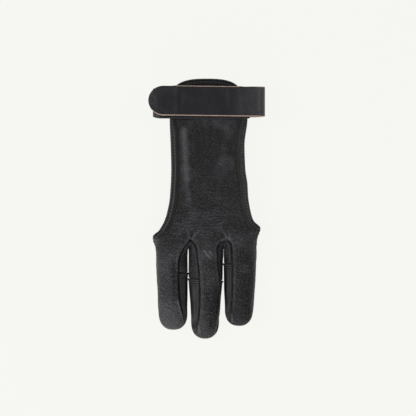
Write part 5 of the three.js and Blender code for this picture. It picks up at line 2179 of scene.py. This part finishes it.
def ring_crotch_seam() -> tuple[Array, Array]:
    """Points and unit normals of the line over the ring crotch's seam where its stitches show."""
    edge = RING_STALL.top_point(np.float64(1), np.linspace(*RING_CROTCH_STITCHED, CROTCH_STEPS))
    return edge + RING_CROTCH_MOVE, unit(0 * edge + RING_CROTCH_LEAN)


@dataclass(frozen=True)
class Studio:
    """The camera, the floor and the lights."""

    frame_width: float = 416 * 0.84 * MM
    distance: float = 4.0
    aim: tuple[float, float] = (0.00092, 0.00059)

    def add_camera(self) -> None:
        """A long lens straight above the glove, framed as in the photograph."""
        data = bpy.data.cameras.new("camera")
        camera = bpy.data.objects.new("camera", data)
        bpy.context.scene.collection.objects.link(camera)
        data.sensor_width = 36.0
        data.lens = data.sensor_width * self.distance / self.frame_width
        camera.location = (*self.aim, self.distance)
        bpy.context.scene.camera = camera

    def add_light(self, name: str, place: tuple[float, float, float], size: float, watts: float) -> None:
        """A square soft light that faces the glove.

        Args:
            name: Its name.
            place: Where it stands, in metres.
            size: Its side in metres.
            watts: Its power.
        """
        data = bpy.data.lights.new(name, "AREA")
        data.size = size
        data.energy = watts
        light = bpy.data.objects.new(name, data)
        bpy.context.scene.collection.objects.link(light)
        light.location = place
        light.rotation_euler = (-light.location).to_track_quat("-Z", "Y").to_euler()

    def add_floor(self) -> None:
        """A white lit table, so that the glove has hardly any shadow."""
        bpy.ops.object.select_all(action="DESELECT")
        bpy.ops.mesh.primitive_plane_add(size=6.0, location=(0, 0, 0))
        floor = bpy.context.object
        floor.name = "floor"
        material, tree = new_material("lit_table")
        surface(tree, {
            "Base Color": srgb("3E3E3D"),
            "Roughness": 0.9,
            "Specular IOR Level": 0.0,
            "Emission Color": srgb("F5F6F1"),
            "Emission Strength": 0.972,
        })
        floor.data.materials.append(material)

    def build(self) -> None:
        """Sets up the whole studio."""
        self.add_camera()
        self.add_floor()
        world = bpy.data.worlds.new("studio")
        world.use_nodes = True
        background = world.node_tree.nodes["Background"]
        background.inputs["Color"].default_value = srgb("F5F6F8")
        background.inputs["Strength"].default_value = 0.12
        bpy.context.scene.world = world
        self.add_light("light_left", (-0.95, 0.2, 0.85), 0.8, 7.8)
        self.add_light("light_right", (1.0, 0.3, 0.7), 0.7, 4.0)
        self.add_light("light_front", (-0.2, -1.1, 0.6), 0.7, 7.0)
        bpy.context.scene.view_settings.view_transform = "Standard"


# Where the side bindings start, as a share of the stem's rows, and the rows and columns of the others.
SIDE_BINDING_START = 1 / 18
TOP_BINDING_ROWS = 20
TOP_BINDING_INSET = 10
HEM_BINDING_INSET = 2
# The stitches on the crotches: places along the ring stall, and the line beside the index stall.
RING_CROTCH_STITCHED = (0.02, 0.11)
INDEX_CROTCH_STITCHED = ((15.2, -5.2, 9.6), (19.6, 3.2, 12.2))
CROTCH_STEPS = 12
# The ring crotch's line is moved out of the panel's edge and down, and leans out.
RING_CROTCH_MOVE = (0.7, 0.0, -0.5)
RING_CROTCH_LEAN = (0.4, 0.0, 1.0)
# How far the hook tape lies towards the tab's tip, as a share of the strap's span.
HOOK_TAPE_SHIFT = 0.08


def build_bindings(shop: Workshop, stitcher: Stitcher, back: Shell, palm: Shell) -> None:
    """Makes the four bindings and their stitches.

    Args:
        shop: The materials.
        stitcher: Lays the stitches.
        back: The back panel's unworn sheet.
        palm: The palm panel's unworn sheet.
    """
    stem = BackPanel.stem_index(back)
    first, middle, last = (index[:, ::-1] for index in palm.indices[:3])
    band = np.concatenate([first, middle[:, 1:], last[:, 1:]], axis=1)
    sides = stem[round(BackPanel.stem_rows * SIDE_BINDING_START) :]
    top = stem[:TOP_BINDING_ROWS, TOP_BINDING_INSET:-TOP_BINDING_INSET].transpose()
    width = SIZE.binding_width
    top_end = Binding(
        "binding_top_end", 0.7 * width, groove_at=1.4, ridge_at=2.5, skive=0.6, round_ends=False
    )
    palm_hem = Binding("binding_palm_hem", 0.75 * width, puff=0.0, skive=0.5, round_ends=False)
    bindings = (
        Binding("binding_ring_side", width).follow(back, sides[:, :LANE_COLUMNS]),
        Binding("binding_index_side", width).follow(back, sides[:, : -LANE_COLUMNS - 1 : -1]),
        top_end.follow(back, top),
        palm_hem.follow(palm, band[:, HEM_BINDING_INSET:-HEM_BINDING_INSET].transpose()),
    )
    for binding in bindings:
        binding.build(shop)
        stitcher.lay(f"stitches_{binding.name}", *binding.seam_line(), binding.pitch, length=1.9)


def main() -> None:
    """Builds the studio and the glove, and reports each piece."""
    logging.basicConfig(level=logging.INFO, format="%(name)s: %(message)s")
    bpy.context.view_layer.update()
    Studio().build()
    shop = Workshop()
    stitcher = Stitcher(shop)
    back_panel, palm_panel = BackPanel(), PalmPanel()
    back, palm = back_panel.sheet(), palm_panel.sheet()
    build_bindings(shop, stitcher, back, palm)
    back_panel.build(shop, back)
    palm_panel.build(shop, palm)
    Fourchette("fourchette_ring_middle", RING_STALL, MIDDLE_STALL).build(shop)
    Fourchette("fourchette_middle_index", MIDDLE_STALL, INDEX_STALL, pinch=0.3).build(shop)
    for finger, stall in zip(("ring", "middle", "index"), STALLS):
        TipLeather(f"tip_leather_{finger}", stall).build(shop)
    WristStrap().build(shop)
    lower = SIZE.strap_y - SIZE.strap_shift
    Tape("loop_tape", SIZE.loop_tape_length, (SIZE.strap_x, lower), SIZE.loop_tape_height).build(shop)
    hook_x = SIZE.strap_x - HOOK_TAPE_SHIFT * SIZE.strap_span
    Tape("hook_tape", SIZE.hook_tape_length, (hook_x, SIZE.strap_y), SIZE.hook_tape_height).build(shop)
    stitcher.lay("stitches_ring_crotch", *ring_crotch_seam(), pitch=2.0)
    line = np.linspace(*INDEX_CROTCH_STITCHED, CROTCH_STEPS)
    stitcher.lay("stitches_index_crotch", line, np.tile((0.0, 0.0, 1.0), (CROTCH_STEPS, 1)), pitch=1.9)


if __name__ == "__main__":
    main()
